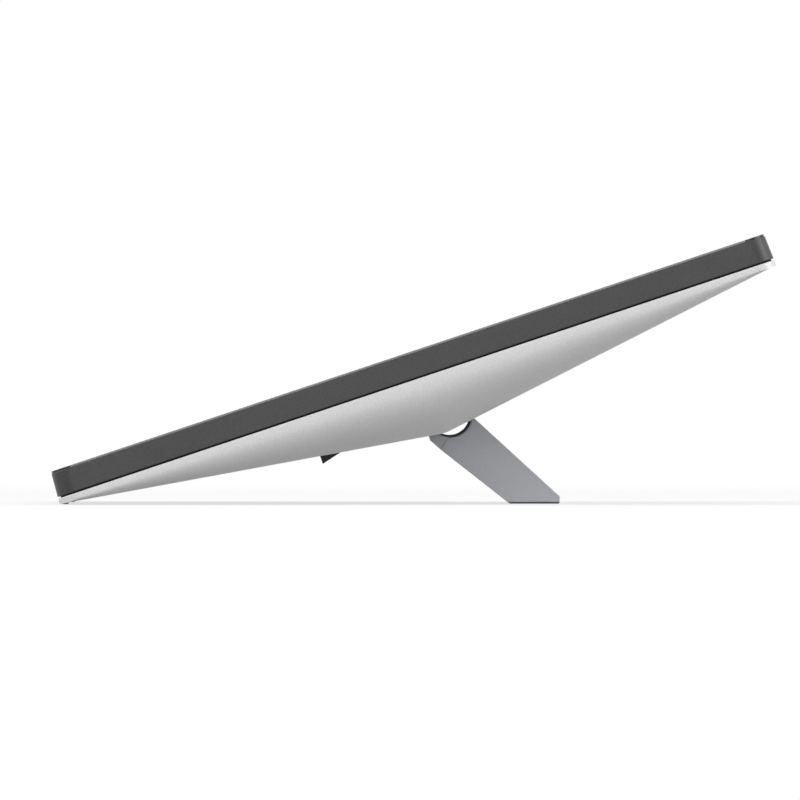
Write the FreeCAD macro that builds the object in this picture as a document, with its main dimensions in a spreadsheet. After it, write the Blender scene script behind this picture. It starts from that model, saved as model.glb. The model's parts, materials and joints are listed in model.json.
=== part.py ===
"""Reclining touch all-in-one computer: a screen with a ridged back that rests on a hinged leg.

Two frames are used. The screen frame has X across, Y up the screen from its lower end and Z
towards the viewer, with Z = 0 on the glass; a depth is a distance behind the glass. The leg frame
has its origin on the hinge axis and is level with the floor. Each piece is placed from one of
them into the row frame: X to the user's right, Y away from the user, Z up.
"""
import FreeCAD, Part
import math
import os
import Sketcher
from FreeCAD import Placement, Rotation, Vector

DRIVING = [
    ("screen_width", 530.0),
    ("screen_height", 346.0),
    ("corner_radius", 9.0),
    ("recline", 18.45),
    ("glass_thickness", 0.9),
    ("mask_thickness", 0.3),
    ("active_width", 476.6),
    ("active_height", 268.1),
    ("panel_border", 8.0),
    ("panel_thickness", 8.2),
    ("band_depth", 12.1),
    ("front_inset", 1.3),
    ("back_inset", 0.4),
    ("frame_wall", 2.6),
    ("plate_thickness", 1.2),
    ("gap_thickness", 0.7),
    ("gap_inset", 1.4),
    ("lip_depth", 15.3),
    ("edge_rise", 0.1),
    ("ridge_position", 177.8),
    ("ridge_depth", 40.4),
    ("ridge_blend", 2.5),
    ("shoulder_width", 55.0),
    ("shell_wall", 2.2),
    ("hinge_position", 182.7),
    ("hinge_depth", 33.5),
    ("pin_radius", 2.0),
    ("eye_radius", 5.0),
    ("arm_spread", 90.0),
    ("arm_width", 20.0),
    ("cheek_thickness", 3.2),
    ("cheek_radius", 4.2),
    ("leg_width", 240.0),
    ("leg_wall", 2.6),
    ("leg_lower_angle", 38.1),
    ("leg_lower_offset", 15.2),
    ("leg_upper_angle", 42.47),
    ("leg_upper_offset", 6.55),
    ("skin_thickness", 1.4),
    ("liner_thickness", 0.9),
    ("arc_radius", 10.2),
    ("foot_thickness", 0.6),
    ("leg_tip", 50.7),
    ("bay_floor_depth", 21.0),
    ("bay_wall", 1.6),
    ("bay_below_hinge", 12.3),
    ("bay_above_hinge", 67.0),
    ("tray_start", 84.0),
    ("hood_start", 119.6),
    ("hood_length", 10.0),
    ("hood_rise", 4.0),
    ("tray_half_width", 80.0),
    ("board_thickness", 1.6),
    ("key_length", 14.0),
    ("key_height", 4.0),
    ("key_travel", 0.8),
    ("rotor_radius", 28.0),
    ("fit_gap", 0.3),
]
RUNNING_GAP = 0.05
ALONG_X = Rotation(Vector(1, 1, 1), 120)

doc = FreeCAD.newDocument("AllInOne")
sheet = doc.addObject("Spreadsheet::Sheet", "Sizes")
for row, (alias, value) in enumerate(DRIVING, start=1):
    sheet.set(f"A{row}", alias)
    sheet.set(f"B{row}", str(value))
    sheet.setAlias(f"B{row}", alias)
doc.recompute()


class Size:
    """A length or angle: its number, and the sheet formula that gives it."""

    def __init__(self, number, formula=None):
        self.number = float(number)
        self.formula = formula or f"({self.number!r})"

    def _join(self, other, sign, number):
        return Size(number, f"({self.formula} {sign} {other.formula})")

    def __add__(self, other):
        other = as_size(other)
        return self._join(other, "+", self.number + other.number)

    def __sub__(self, other):
        other = as_size(other)
        return self._join(other, "-", self.number - other.number)

    def __mul__(self, other):
        other = as_size(other)
        return self._join(other, "*", self.number * other.number)

    def __truediv__(self, other):
        other = as_size(other)
        return self._join(other, "/", self.number / other.number)

    def __rsub__(self, other):
        return as_size(other) - self

    def __neg__(self):
        return Size(-self.number, f"(0 - {self.formula})")

    __radd__ = __add__
    __rmul__ = __mul__


def as_size(value):
    return value if isinstance(value, Size) else Size(value)


def sin(angle):
    return Size(math.sin(math.radians(angle.number)), f"sin({angle.formula} * 1deg)")


def cos(angle):
    return Size(math.cos(math.radians(angle.number)), f"cos({angle.formula} * 1deg)")


class Driving:
    """The sheet's cells as sizes, by alias."""


for alias, _ in DRIVING:
    setattr(Driving, alias, Size(sheet.get(alias), f"Sizes.{alias}"))
D = Driving

# ---- Placements -------------------------------------------------------------------------------
tilt = math.radians(D.recline.number)
foot_stand = 0.3
screen_lift = D.lip_depth * cos(D.recline) + foot_stand
hinge_height = (screen_lift + D.hinge_position * sin(D.recline) - D.hinge_depth * cos(D.recline))
back_reach = D.screen_height.number * math.cos(tilt) + D.lip_depth.number * math.sin(tilt)
front_reach = D.front_inset.number * math.cos(tilt)
row_shift = -(back_reach + front_reach) / 2
hinge_run = (D.hinge_position.number * math.cos(tilt) + D.hinge_depth.number * math.sin(tilt))
SCREEN = Placement(Vector(0, row_shift, screen_lift.number),
                   Rotation(Vector(1, 0, 0), D.recline.number))
LEG = Placement(Vector(0, row_shift + hinge_run, hinge_height.number), Rotation())

pieces = {}


def keep(name, item, home=SCREEN):
    """Make an object a sub-part: its Label names its file, and home places it in the row frame."""
    item.Label = name
    item.Placement = home.multiply(item.Placement)
    pieces[name] = item
    return item


def bind(item, **sizes):
    """Set an object's dimensions and tie each to its sheet formula."""
    for prop, size in sizes.items():
        size = as_size(size)
        setattr(item, prop, size.number)
        item.setExpression(prop, size.formula)


# ---- Part primitives in the screen frame --------------------------------------------------------
def block(name, low, high):
    """A box between two corners given as (x, y, depth)."""
    low = [as_size(v) for v in low]
    high = [as_size(v) for v in high]
    item = doc.addObject("Part::Box", name)
    bind(item, Length=high[0] - low[0], Width=high[1] - low[1], Height=high[2] - low[2])
    item.Placement.Base = Vector(low[0].number, low[1].number, -high[2].number)
    return item


def rod_x(name, radius, x_low, x_high, at_y=0, at_z=0, sweep=360, start=0):
    """A cylinder along X, or a sector of one from the start angle above +Y."""
    item = doc.addObject("Part::Cylinder", name)
    x_low = as_size(x_low)
    bind(item, Radius=radius, Height=as_size(x_high) - x_low, Angle=sweep)
    centre = Vector(x_low.number, as_size(at_y).number, as_size(at_z).number)
    item.Placement = Placement(centre, ALONG_X.multiply(Rotation(Vector(0, 0, 1), start)))
    return item


def rod_z(name, radius, at_x, at_y, depth_low, depth_high):
    """A cylinder square to the screen between two depths."""
    item = doc.addObject("Part::Cylinder", name)
    depth_high = as_size(depth_high)
    bind(item, Radius=radius, Height=depth_high - depth_low)
    item.Placement.Base = Vector(as_size(at_x).number, as_size(at_y).number, -depth_high.number)
    return item


def rod_y(name, radius, at_x, at_depth, y_low, y_high):
    """A cylinder along Y."""
    item = doc.addObject("Part::Cylinder", name)
    y_high = as_size(y_high)
    bind(item, Radius=radius, Height=y_high - y_low)
    item.Placement = Placement(Vector(as_size(at_x).number, y_high.number, -as_size(at_depth).number),
                               Rotation(Vector(1, 0, 0), 90))
    return item


def cut(name, base, tool):
    item = doc.addObject("Part::Cut", name)
    item.Base = base
    item.Tool = tool
    return item


def joined(name, shapes, kind="Part::MultiFuse"):
    item = doc.addObject(kind, name)
    item.Shapes = shapes
    return item


def group(name, shapes):
    item = doc.addObject("Part::Compound", name)
    item.Links = shapes
    return item


# ---- PartDesign bodies ---------------------------------------------------------------------------
def body(name):
    return doc.addObject("PartDesign::Body", name)


def plane_of(item, role):
    return next(f for f in item.Origin.OriginFeatures if f.Role == role)


def sketch_on(item, role, name, offset=0):
    sketch = item.newObject("Sketcher::SketchObject", name)
    sketch.AttachmentSupport = [(plane_of(item, role), "")]
    sketch.MapMode = "FlatFace"
    offset = as_size(offset)
    sketch.AttachmentOffset = Placement(Vector(0, 0, offset.number), Rotation())
    sketch.setExpression("AttachmentOffset.Base.z", offset.formula)
    return sketch


def fix_point(sketch, geometry, point, across, up, name):
    """Tie a sketch point's two coordinates to their formulas."""
    for kind, size in (("DistanceX", across), ("DistanceY", up)):
        if size is None:
            continue
        size = as_size(size)
        index = sketch.addConstraint(Sketcher.Constraint(kind, geometry, point, size.number))
        label = f"{name}_{'across' if kind == 'DistanceX' else 'up'}"
        sketch.renameConstraint(index, label)
        sketch.setExpression(f"Constraints.{label}", size.formula)


def outline(sketch, corners):
    """A closed outline of straight runs through the corners."""
    points = [[as_size(v) for v in corner] for corner in corners]
    spots = [Vector(across.number, up.number, 0) for across, up in points]
    runs = [Part.LineSegment(a, b) for a, b in zip(spots, spots[1:] + spots[:1])]
    first = sketch.addGeometry(runs, False)[0]
    for index, (across, up) in enumerate(points):
        after = first + (index + 1) % len(points)
        sketch.addConstraint(Sketcher.Constraint("Coincident", first + index, 2, after, 1))
        fix_point(sketch, first + index, 1, across, up, f"corner{first + index}")


def rounded_rectangle(sketch, half_width, low, high, radius):
    """A rectangle with round corners, centred across."""
    half_width, low, high, radius = (as_size(v) for v in (half_width, low, high, radius))
    w, a, b, r = half_width.number, low.number, high.number, radius.number
    corner_arc = [(w - r, a + r, -90), (w - r, b - r, 0), (-w + r, b - r, 90), (-w + r, a + r, 180)]
    runs = [((-w + r, a), (w - r, a)), ((w, a + r), (w, b - r)),
            ((w - r, b), (-w + r, b)), ((-w, b - r), (-w, a + r))]
    items = [Part.LineSegment(Vector(*p, 0), Vector(*q, 0)) for p, q in runs]
    for x, y, start in corner_arc:
        circle = Part.Circle(Vector(x, y, 0), Vector(0, 0, 1), r)
        items.append(Part.ArcOfCircle(circle, math.radians(start), math.radians(start + 90)))
    first = sketch.addGeometry(items, False)[0]
    for side in range(4):
        arc = first + 4 + side
        sketch.addConstraint(Sketcher.Constraint("Tangent", first + side, 2, arc, 1))
        sketch.addConstraint(Sketcher.Constraint("Tangent", arc, 2, first + (side + 1) % 4, 1))
        if side:
            sketch.addConstraint(Sketcher.Constraint("Equal", first + 4, arc))
    index = sketch.addConstraint(Sketcher.Constraint("Radius", first + 4, r))
    sketch.renameConstraint(index, f"radius{first}")
    sketch.setExpression(f"Constraints.radius{first}", radius.formula)
    for side, kind in enumerate(("Horizontal", "Vertical", "Horizontal", "Vertical")):
        sketch.addConstraint(Sketcher.Constraint(kind, first + side))
    fix_point(sketch, first, 1, None, low, f"low{first}")
    fix_point(sketch, first + 1, 1, half_width, None, f"right{first}")
    fix_point(sketch, first + 2, 1, None, high, f"high{first}")
    fix_point(sketch, first + 3, 1, -half_width, None, f"left{first}")


def pad(item, sketch, length, deeper=True, both_ways=False):
    feature = item.newObject("PartDesign::Pad", f"{item.Name}_pad")
    feature.Profile = sketch
    feature.Reversed = deeper
    feature.Midplane = both_ways
    bind(feature, Length=length)
    return feature


def pocket(item, sketch, length, both_ways=False):
    """Cut a sketch out of a body: deeper from its plane, or equally to both sides of it."""
    feature = item.newObject("PartDesign::Pocket", f"{item.Name}_pocket")
    feature.Profile = sketch
    feature.Midplane = both_ways
    bind(feature, Length=length)
    return feature


def sheet_ring(name, outer, depth, thickness, window=None):
    """A flat rounded sheet, or a ring of it; outer and window are (half width, low, high, radius)."""
    item = body(name)
    sketch = sketch_on(item, "XY_Plane", f"{name}_outline", -as_size(depth))
    rounded_rectangle(sketch, *outer)
    if window:
        rounded_rectangle(sketch, *window)
    pad(item, sketch, thickness)
    return item


def section_bar(name, corners, width, centre=0):
    """A bar along X with the given section in (Y, Z), centred at an X."""
    item = body(name)
    sketch = sketch_on(item, "YZ_Plane", f"{name}_section", centre)
    outline(sketch, corners)
    pad(item, sketch, width, deeper=False, both_ways=True)
    return item


# ---- Screen ---------------------------------------------------------------------------------------
half = D.screen_width / 2
top = D.screen_height
mask_back = D.glass_thickness + D.mask_thickness
screen_middle = top / 2


def inset(amount, radius_less=0):
    """The screen's outline moved in all round."""
    return (half - amount, as_size(amount), top - amount, D.corner_radius - radius_less)


window = (D.active_width / 2, screen_middle - D.active_height / 2,
          screen_middle + D.active_height / 2, 1.0)
panel = (D.active_width / 2 + D.panel_border, window[1] - D.panel_border,
         window[2] + D.panel_border)
panel_back = mask_back + D.mask_thickness + D.panel_thickness
plate_front = panel_back + D.fit_gap
plate_back = plate_front + D.plate_thickness
webcam_height = (window[2] + top) / 2

keep("cover_glass", sheet_ring("cover_glass", inset(D.front_inset + 0.3, 1.0), 0, D.glass_thickness))

mask = body("bezel_mask")
mask_sketch = sketch_on(mask, "XY_Plane", "mask_outline", -D.glass_thickness)
rounded_rectangle(mask_sketch, *inset(D.front_inset + 0.3, 1.0))
rounded_rectangle(mask_sketch, *window)
lens_hole = mask_sketch.addGeometry(Part.Circle(Vector(0, webcam_height.number, 0),
                                                Vector(0, 0, 1), 2.2), False)
mask_sketch.addConstraint(Sketcher.Constraint("Radius", lens_hole, 2.2))
fix_point(mask_sketch, lens_hole, 3, 0.0, webcam_height, "lens")
pad(mask, mask_sketch, D.mask_thickness)
keep("bezel_mask", mask)

gasket_outer = (panel[0], panel[1], panel[2], 2.0)
keep("panel_gasket", sheet_ring("panel_gasket", gasket_outer, mask_back, D.mask_thickness, window))
keep("lcd_panel", block("lcd_panel", (-panel[0], panel[1], mask_back + D.mask_thickness),
                        (panel[0], panel[2], panel_back)))

frame = body("front_frame")
frame_front = sketch_on(frame, "XY_Plane", "frame_front", -mask_back)
rounded_rectangle(frame_front, *inset(D.front_inset, 1.0))
frame_back = sketch_on(frame, "XY_Plane", "frame_back", -D.band_depth)
rounded_rectangle(frame_back, *inset(D.back_inset, 0.4))
frame_loft = frame.newObject("PartDesign::AdditiveLoft", "frame_loft")
frame_loft.Profile = frame_front
frame_loft.Sections = [frame_back]
frame_loft.Ruled = True
well = (panel[0] + D.fit_gap, panel[1] - D.fit_gap, panel[2] + D.fit_gap, 0.4)
frame_window = sketch_on(frame, "XY_Plane", "frame_window", -mask_back)
rounded_rectangle(frame_window, *well)
pocket(frame, frame_window, D.band_depth)
ledge_back = mask_back + D.frame_wall
frame_hollow = sketch_on(frame, "XY_Plane", "frame_hollow", -ledge_back)
hollow_inset = D.front_inset + D.frame_wall
rounded_rectangle(frame_hollow, *inset(hollow_inset, D.frame_wall))
pocket(frame, frame_hollow, D.band_depth)

plate_inset = hollow_inset + D.fit_gap
keep("chassis_plate", sheet_ring("chassis_plate", inset(plate_inset, D.frame_wall), plate_front,
                                 D.plate_thickness))
gap_back = D.band_depth + D.gap_thickness
gap_window = (half - hollow_inset, hollow_inset, top - hollow_inset, D.corner_radius - D.frame_wall)
keep("shadow_gap_ring", sheet_ring("shadow_gap_ring", inset(D.gap_inset, 0.8), D.band_depth,
                                   D.gap_thickness, gap_window))

webcam_well = block("webcam_well", (-16, webcam_height - 5, mask_back),
                    (16, webcam_height + 5, plate_front))
webcam_housing = block("webcam_housing", (-15.7, webcam_height - 4.7, mask_back),
                       (15.7, webcam_height + 4.7, mask_back + 5.6))
lens_seat = rod_z("lens_seat", 2.1, 0, webcam_height, mask_back, mask_back + 3.2)
keep("webcam_module", cut("webcam_cut", webcam_housing, lens_seat))
keep("webcam_lens", rod_z("webcam_lens", 2.1, 0, webcam_height, mask_back, mask_back + 3.2))


# ---- Rear shell -----------------------------------------------------------------------------------
OVERSIZE = 0.05
TRIM_MARGIN = 3.0


def roof_depth(y):
    """The depth of the back's flat middle at a height up the screen."""
    lower = (D.ridge_depth.number - D.lip_depth.number) / D.ridge_position.number
    upper = (D.ridge_depth.number - D.lip_depth.number) / (top.number - D.ridge_position.number)
    blend = D.ridge_blend.number
    from_ridge = min(max(y, 0.0), top.number) - D.ridge_position.number
    if abs(from_ridge) < blend:
        rise = lower * (blend + from_ridge) - (lower + upper) * (blend + from_ridge) ** 2 / (4 * blend)
        return D.ridge_depth.number - lower * blend + rise
    slope = lower if from_ridge < 0 else upper
    return D.ridge_depth.number - slope * abs(from_ridge)


def roof_section(y, start_depth, wall):
    """One section of the back across the screen: a broad base, elliptical shoulders, flat top."""
    edge = half.number - wall + OVERSIZE
    base_edge = edge + TRIM_MARGIN
    shoulder = D.shoulder_width.number - wall
    lip = D.lip_depth.number - wall
    crown = roof_depth(y) - wall + D.edge_rise.number
    flat = edge - shoulder
    left, right = (
        Part.ArcOfEllipse(Part.Ellipse(Vector(side * edge, y, -lip), Vector(side * flat, y, -crown),
                                       Vector(side * flat, y, -lip)), *sweep).toShape()
        for side, sweep in ((-1, (0, math.pi / 2)), (1, (0, math.pi / 2))))
    base = [Vector(-edge, y, -lip), Vector(-base_edge, y, -lip), Vector(-base_edge, y, -start_depth),
            Vector(base_edge, y, -start_depth), Vector(base_edge, y, -lip), Vector(edge, y, -lip)]
    straight = [Part.makeLine(a, b) for a, b in zip(base, base[1:])]
    crown_line = Part.makeLine(Vector(-flat, y, -crown), Vector(flat, y, -crown))
    return Part.Wire(Part.__sortEdges__([*straight, left, right, crown_line]))


def roof(name, start_depth, wall):
    """The back as one solid, moved in by a wall, with a margin all round for trimming to plan."""
    blend = D.ridge_blend.number
    ridge = D.ridge_position.number
    stations = [ridge + blend * share for share in (-1, -0.5, 0, 0.5, 1)]
    high = top.number
    spans = [([-TRIM_MARGIN, 0.0], True), ([0.0, stations[0]], True), (stations, False),
             ([stations[-1], high], True), ([high, high + TRIM_MARGIN], True)]
    solids = [Part.makeLoft([roof_section(y, start_depth, wall) for y in ys], True, ruled)
              for ys, ruled in spans]
    item = doc.addObject("Part::Feature", name)
    item.Shape = solids[0].multiFuse(solids[1:])
    return item


def plan_prism(name, amount, radius_less, front, back):
    item = body(name)
    sketch = sketch_on(item, "XY_Plane", f"{name}_plan", -as_size(front))
    rounded_rectangle(sketch, *inset(amount, radius_less))
    pad(item, sketch, as_size(back) - front)
    return item


deepest = D.ridge_depth + 10
outer_roof = roof("outer_roof", gap_back.number, 0.0)
inner_roof = roof("inner_roof", D.band_depth.number, D.shell_wall.number)
outer_hull = joined("outer_hull", [outer_roof, plan_prism("outer_plan", 0, 0, 0, deepest)],
                    "Part::MultiCommon")
inner_hull = joined("inner_hull", [inner_roof, plan_prism("inner_plan", D.shell_wall, D.shell_wall,
                                                          0, deepest)], "Part::MultiCommon")

# Hinge bay: the opening that the folded leg lies in.
bay_low = D.hinge_position - D.bay_below_hinge
bay_high = D.hinge_position + D.bay_above_hinge
bay_half = D.leg_width / 2 + 1.0
bay_cavity = block("bay_cavity", (-bay_half, bay_low, D.bay_floor_depth), (bay_half, bay_high, deepest))
bay_block = block("bay_block", (-bay_half - D.bay_wall, bay_low - D.bay_wall,
                                D.bay_floor_depth - D.bay_wall),
                  (bay_half + D.bay_wall, bay_high + D.bay_wall, deepest))
bay_opening = block("bay_opening", (-bay_half - D.bay_wall, bay_low - D.bay_wall, D.band_depth),
                    (bay_half + D.bay_wall, bay_high + D.bay_wall, deepest))
bay_solid = joined("bay_solid", [bay_block, outer_hull], "Part::MultiCommon")
keep("leg_bay", cut("leg_bay_cut", bay_solid, bay_cavity))

# Socket tray and hood.
hood_end = D.hood_start + D.hood_length
tray_edge = D.tray_half_width + D.bay_wall
tray_low = D.tray_start - D.bay_wall
port_wall = 2.4


def lower_roof(y):
    """The depth of the lower slope, as a formula."""
    return D.lip_depth + D.edge_rise + (D.ridge_depth - D.lip_depth) * y / D.ridge_position


tray_opening = block("tray_opening", (-tray_edge, tray_low, D.band_depth),
                     (tray_edge, hood_end, deepest))
hood_tip = lower_roof(D.hood_start) + D.hood_rise
tray_back = D.bay_floor_depth - D.bay_wall
tray_section = [
    (tray_low, -lower_roof(tray_low)),
    (D.tray_start, -lower_roof(D.tray_start)),
    (D.tray_start, -D.bay_floor_depth),
    (D.hood_start, -D.bay_floor_depth),
    (D.hood_start, -hood_tip),
    (hood_end, -lower_roof(hood_end)),
    (hood_end, D.shell_wall - lower_roof(hood_end)),
    (D.hood_start + port_wall, D.shell_wall - hood_tip),
    (D.hood_start + port_wall, -tray_back),
    (tray_low, -tray_back),
]
tray = section_bar("io_tray", tray_section, D.tray_half_width * 2)
cheek_section = [
    (tray_low, -tray_back),
    (tray_low, -lower_roof(tray_low)),
    (D.hood_start, -lower_roof(D.hood_start)),
    (D.hood_start, -hood_tip),
    (hood_end, -lower_roof(hood_end)),
    (hood_end, -tray_back),
]
tray_cheeks = [section_bar(f"io_cheek_{side}", cheek_section, D.bay_wall,
                           sign * (D.tray_half_width + D.bay_wall / 2))
               for side, sign in (("left", -1), ("right", 1))]

# ---- Sockets ----------------------------------------------------------------------------------------
SOCKET_WALL = 0.8
SOCKET_LENGTH = 15.0
SOCKET_DEPTH = 13.0
TONGUE_THICKNESS = 1.4
TONGUE_MARGIN = 2.0
ROUND_LENGTH = 14.0
ROUND_DEPTH = 12.0
CENTRE_PIN_RADIUS = 0.9
BEYOND = 1.0
PORTS = [("usb_a", -58.0, 14.0, 7.0), ("usb_b", -38.0, 14.0, 7.0), ("usb_c", -18.0, 14.0, 7.0),
         ("video", 4.0, 16.0, 6.6), ("ethernet", 28.0, 16.6, 10.0)]
ROUND_PORTS = [("audio_jack", 48.0, 3.4, 1.8), ("dc_inlet", 64.0, 4.6, 3.2)]
BOARD_HALF_WIDTH = 76.0
BOARD_LENGTH = 24.0

board_front = tray_back
board_back = board_front + D.board_thickness
port_start = D.hood_start + port_wall
port_mouth = D.hood_start - BEYOND
socket_end = D.hood_start + SOCKET_DEPTH
port_holes = []
port_shells = {}
for name, at_x, width, height in PORTS:
    half_width = width / 2
    port_holes.append(block(f"{name}_hole", (at_x - half_width, port_mouth, board_back),
                            (at_x + half_width, port_start, board_back + height)))
    casing = block(f"{name}_casing", (at_x - half_width, D.hood_start, board_back),
                   (at_x + half_width, D.hood_start + SOCKET_LENGTH, board_back + height))
    mouth = block(f"{name}_mouth", (at_x - half_width + SOCKET_WALL, port_mouth, board_back + SOCKET_WALL),
                  (at_x + half_width - SOCKET_WALL, socket_end, board_back + height - SOCKET_WALL))
    port_shells[name] = cut(f"{name}_shell", casing, mouth)
    if name == "ethernet":
        continue
    tongue_depth = board_back + (height - TONGUE_THICKNESS) / 2
    tongue = block(f"{name}_tongue", (at_x - half_width + TONGUE_MARGIN, D.hood_start + BEYOND, tongue_depth),
                   (at_x + half_width - TONGUE_MARGIN, socket_end + SOCKET_WALL,
                    tongue_depth + TONGUE_THICKNESS))
    port_shells[name] = joined(f"{name}_port", [port_shells[name], tongue])
round_depth = board_back + ROUND_PORTS[1][2] + 0.2
for name, at_x, radius, bore in ROUND_PORTS:
    port_holes.append(rod_y(f"{name}_hole", radius, at_x, round_depth, port_mouth, port_start))
    barrel = rod_y(f"{name}_barrel", radius, at_x, round_depth, D.hood_start, D.hood_start + ROUND_LENGTH)
    bore_hole = rod_y(f"{name}_bore", bore, at_x, round_depth, port_mouth, D.hood_start + ROUND_DEPTH)
    port_shells[name] = cut(f"{name}_socket", barrel, bore_hole)
centre_pin = rod_y("dc_centre_pin", CENTRE_PIN_RADIUS, ROUND_PORTS[1][1], round_depth,
                   D.hood_start + TONGUE_MARGIN, D.hood_start + ROUND_DEPTH + BEYOND)
port_shells["dc_inlet"] = joined("dc_inlet_port", [port_shells["dc_inlet"], centre_pin])

tray_solid = joined("tray_solid", [tray, *tray_cheeks])
keep("io_bay", cut("io_bay_cut", tray_solid, joined("port_hole_set", port_holes)))
keep("usb_ports", group("usb_group", [port_shells[name] for name in ("usb_a", "usb_b", "usb_c")]))
keep("video_port", port_shells["video"])
keep("ethernet_port", port_shells["ethernet"])
keep("audio_jack", port_shells["audio_jack"])
keep("dc_inlet", port_shells["dc_inlet"])
keep("io_board", block("io_board", (-BOARD_HALF_WIDTH, port_start, board_front),
                       (BOARD_HALF_WIDTH, port_start + BOARD_LENGTH, board_back)))

# ---- Vents, speaker slots and screws -----------------------------------------------------------------
SLOT_X = 168.0
SLOT_WIDTH = 2.4
SLOT_PITCH = 5.0
SLOT_COUNT = 14
VENT = (262.0, 26.0)
SPEAKER_SLOTS = (34.0, 12.0)
MESH_MARGIN = 3.0
MESH_HALF_WIDTH = 36.0
MESH_THICKNESS = 0.5
SCREW_PLACES = [(-200.0, 75.0), (200.0, 75.0), (-200.0, 305.0), (200.0, 305.0), (0.0, 50.0), (0.0, 290.0)]
BOSS_RADIUS = 4.6
COUNTERBORE_RADIUS = 3.3
SCREW_HEAD_RADIUS = 3.0
SCREW_HEAD_HEIGHT = 1.8
SCREW_SINK = 3.2
SHANK_RADIUS = 1.6


def slot_row(name, at_x, low, length):
    """A row of slots across the back, as a cutter."""
    item = body(name)
    sketch = sketch_on(item, "XY_Plane", f"{name}_slot", -D.band_depth)
    row_length = SLOT_PITCH * (SLOT_COUNT - 1)
    left = at_x - (row_length + SLOT_WIDTH) / 2
    outline(sketch, [(left, low), (left + SLOT_WIDTH, low), (left + SLOT_WIDTH, low + length),
                     (left, low + length)])
    first = pad(item, sketch, D.ridge_depth)
    row = item.newObject("PartDesign::LinearPattern", f"{name}_row")
    row.Originals = [first]
    row.Direction = (sketch, ["H_Axis"])
    row.Occurrences = SLOT_COUNT
    bind(row, Length=row_length)
    item.Tip = row
    return item


def mesh_sheet(name, at_x, low, length):
    """A thin black mesh sheet that lies under a row of slots, along the slope."""
    inside = D.edge_rise.number - D.shell_wall.number
    start = low - MESH_MARGIN
    run = length + MESH_MARGIN * 2
    depth_low = roof_depth(start) + inside
    turn = math.degrees(math.atan2(depth_low - roof_depth(start + run) - inside, run))
    item = doc.addObject("Part::Box", name)
    bind(item, Length=MESH_HALF_WIDTH * 2, Width=run / math.cos(math.radians(turn)), Height=MESH_THICKNESS)
    item.Placement = Placement(Vector(at_x - MESH_HALF_WIDTH, start, -depth_low),
                               Rotation(Vector(1, 0, 0), turn))
    return item


SIDES = (("left", -1), ("right", 1))
slot_sets = [(f"{kind}_{side}", sign * SLOT_X, *place)
             for kind, place in (("vent", VENT), ("speaker_slots", SPEAKER_SLOTS)) for side, sign in SIDES]
slots = [slot_row(*entry) for entry in slot_sets]
bosses = []
bores = []
screws = []
for index, (at_x, at_y) in enumerate(SCREW_PLACES):
    seat = roof_depth(at_y) - SCREW_SINK
    bosses.append(rod_z(f"boss{index}", BOSS_RADIUS, at_x, at_y, plate_back, deepest))
    bores.append(rod_z(f"counterbore{index}", COUNTERBORE_RADIUS, at_x, at_y, seat, deepest))
    bores.append(rod_z(f"screw_hole{index}", SHANK_RADIUS, at_x, at_y, D.band_depth - 2, seat + 0.1))
    head = rod_z(f"screw_head{index}", SCREW_HEAD_RADIUS, at_x, at_y, seat, seat + SCREW_HEAD_HEIGHT)
    shank = rod_z(f"screw_shank{index}", SHANK_RADIUS, at_x, at_y, plate_back, seat)
    screws.append(joined(f"shell_screw{index}", [head, shank]))
boss_set = joined("boss_set", [joined("boss_fuse", bosses), outer_hull], "Part::MultiCommon")
shell_skin = cut("shell_skin", outer_hull, inner_hull)
shell_bossed = joined("shell_bossed", [shell_skin, boss_set])
openings = joined("shell_openings", [bay_opening, tray_opening, *slots, *bores])
keep("rear_shell", cut("rear_shell_cut", shell_bossed, openings))
keep("shell_screws", group("shell_screw_group", screws))
meshes = [mesh_sheet(f"{name}_mesh", at_x, low, length) for name, at_x, low, length in slot_sets]
keep("vent_meshes", group("vent_mesh_group", meshes))

# ---- Electronics: places are (left, low) and (right, high) across the screen --------------------------
MAIN_BOARD = ((-190.0, 80.0), (-86.0, 172.0))
STANDOFF_RADIUS = 2.2
STANDOFF_INSET = 6.0
STANDOFF_HEIGHT = 1.5
CHIP_MIDDLE = (-146.0, 130.0)
CHIP_HALF = 12.0
CHIP_HEIGHT = 1.4
SPREADER_HALF = 18.0
SPREADER_HEIGHT = 1.6
MEMORY_PLACES = (((-120.0, 90.0), (-90.0, 120.0)), ((-120.0, 126.0), (-90.0, 156.0)))
WIFI_CARD = ((-184.0, 90.0), (-162.0, 108.0))
CARD_HEIGHT = 1.2
STORAGE_DRIVE = ((118.0, 84.0), (188.0, 164.0))
DRIVE_HEIGHT = 7.0
SPEAKER_HALF = (24.0, 16.0)
SPEAKER_MIDDLE = 42.0
SPEAKER_HEIGHT = 3.6
DISPLAY_CABLE = ((-70.0, 96.0), (-40.0, 150.0))
CABLE_HEIGHT = 0.6


def plate_piece(name, place, front, height):
    """A flat piece that lies behind the chassis plate: front is the depth of its near face."""
    (left, low), (right, high) = place
    return block(name, (left, low, front), (right, high, as_size(front) + height))


def square(middle, half_side):
    """The corners of a square about its middle."""
    x, y = middle
    return ((x - half_side, y - half_side), (x + half_side, y + half_side))


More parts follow.
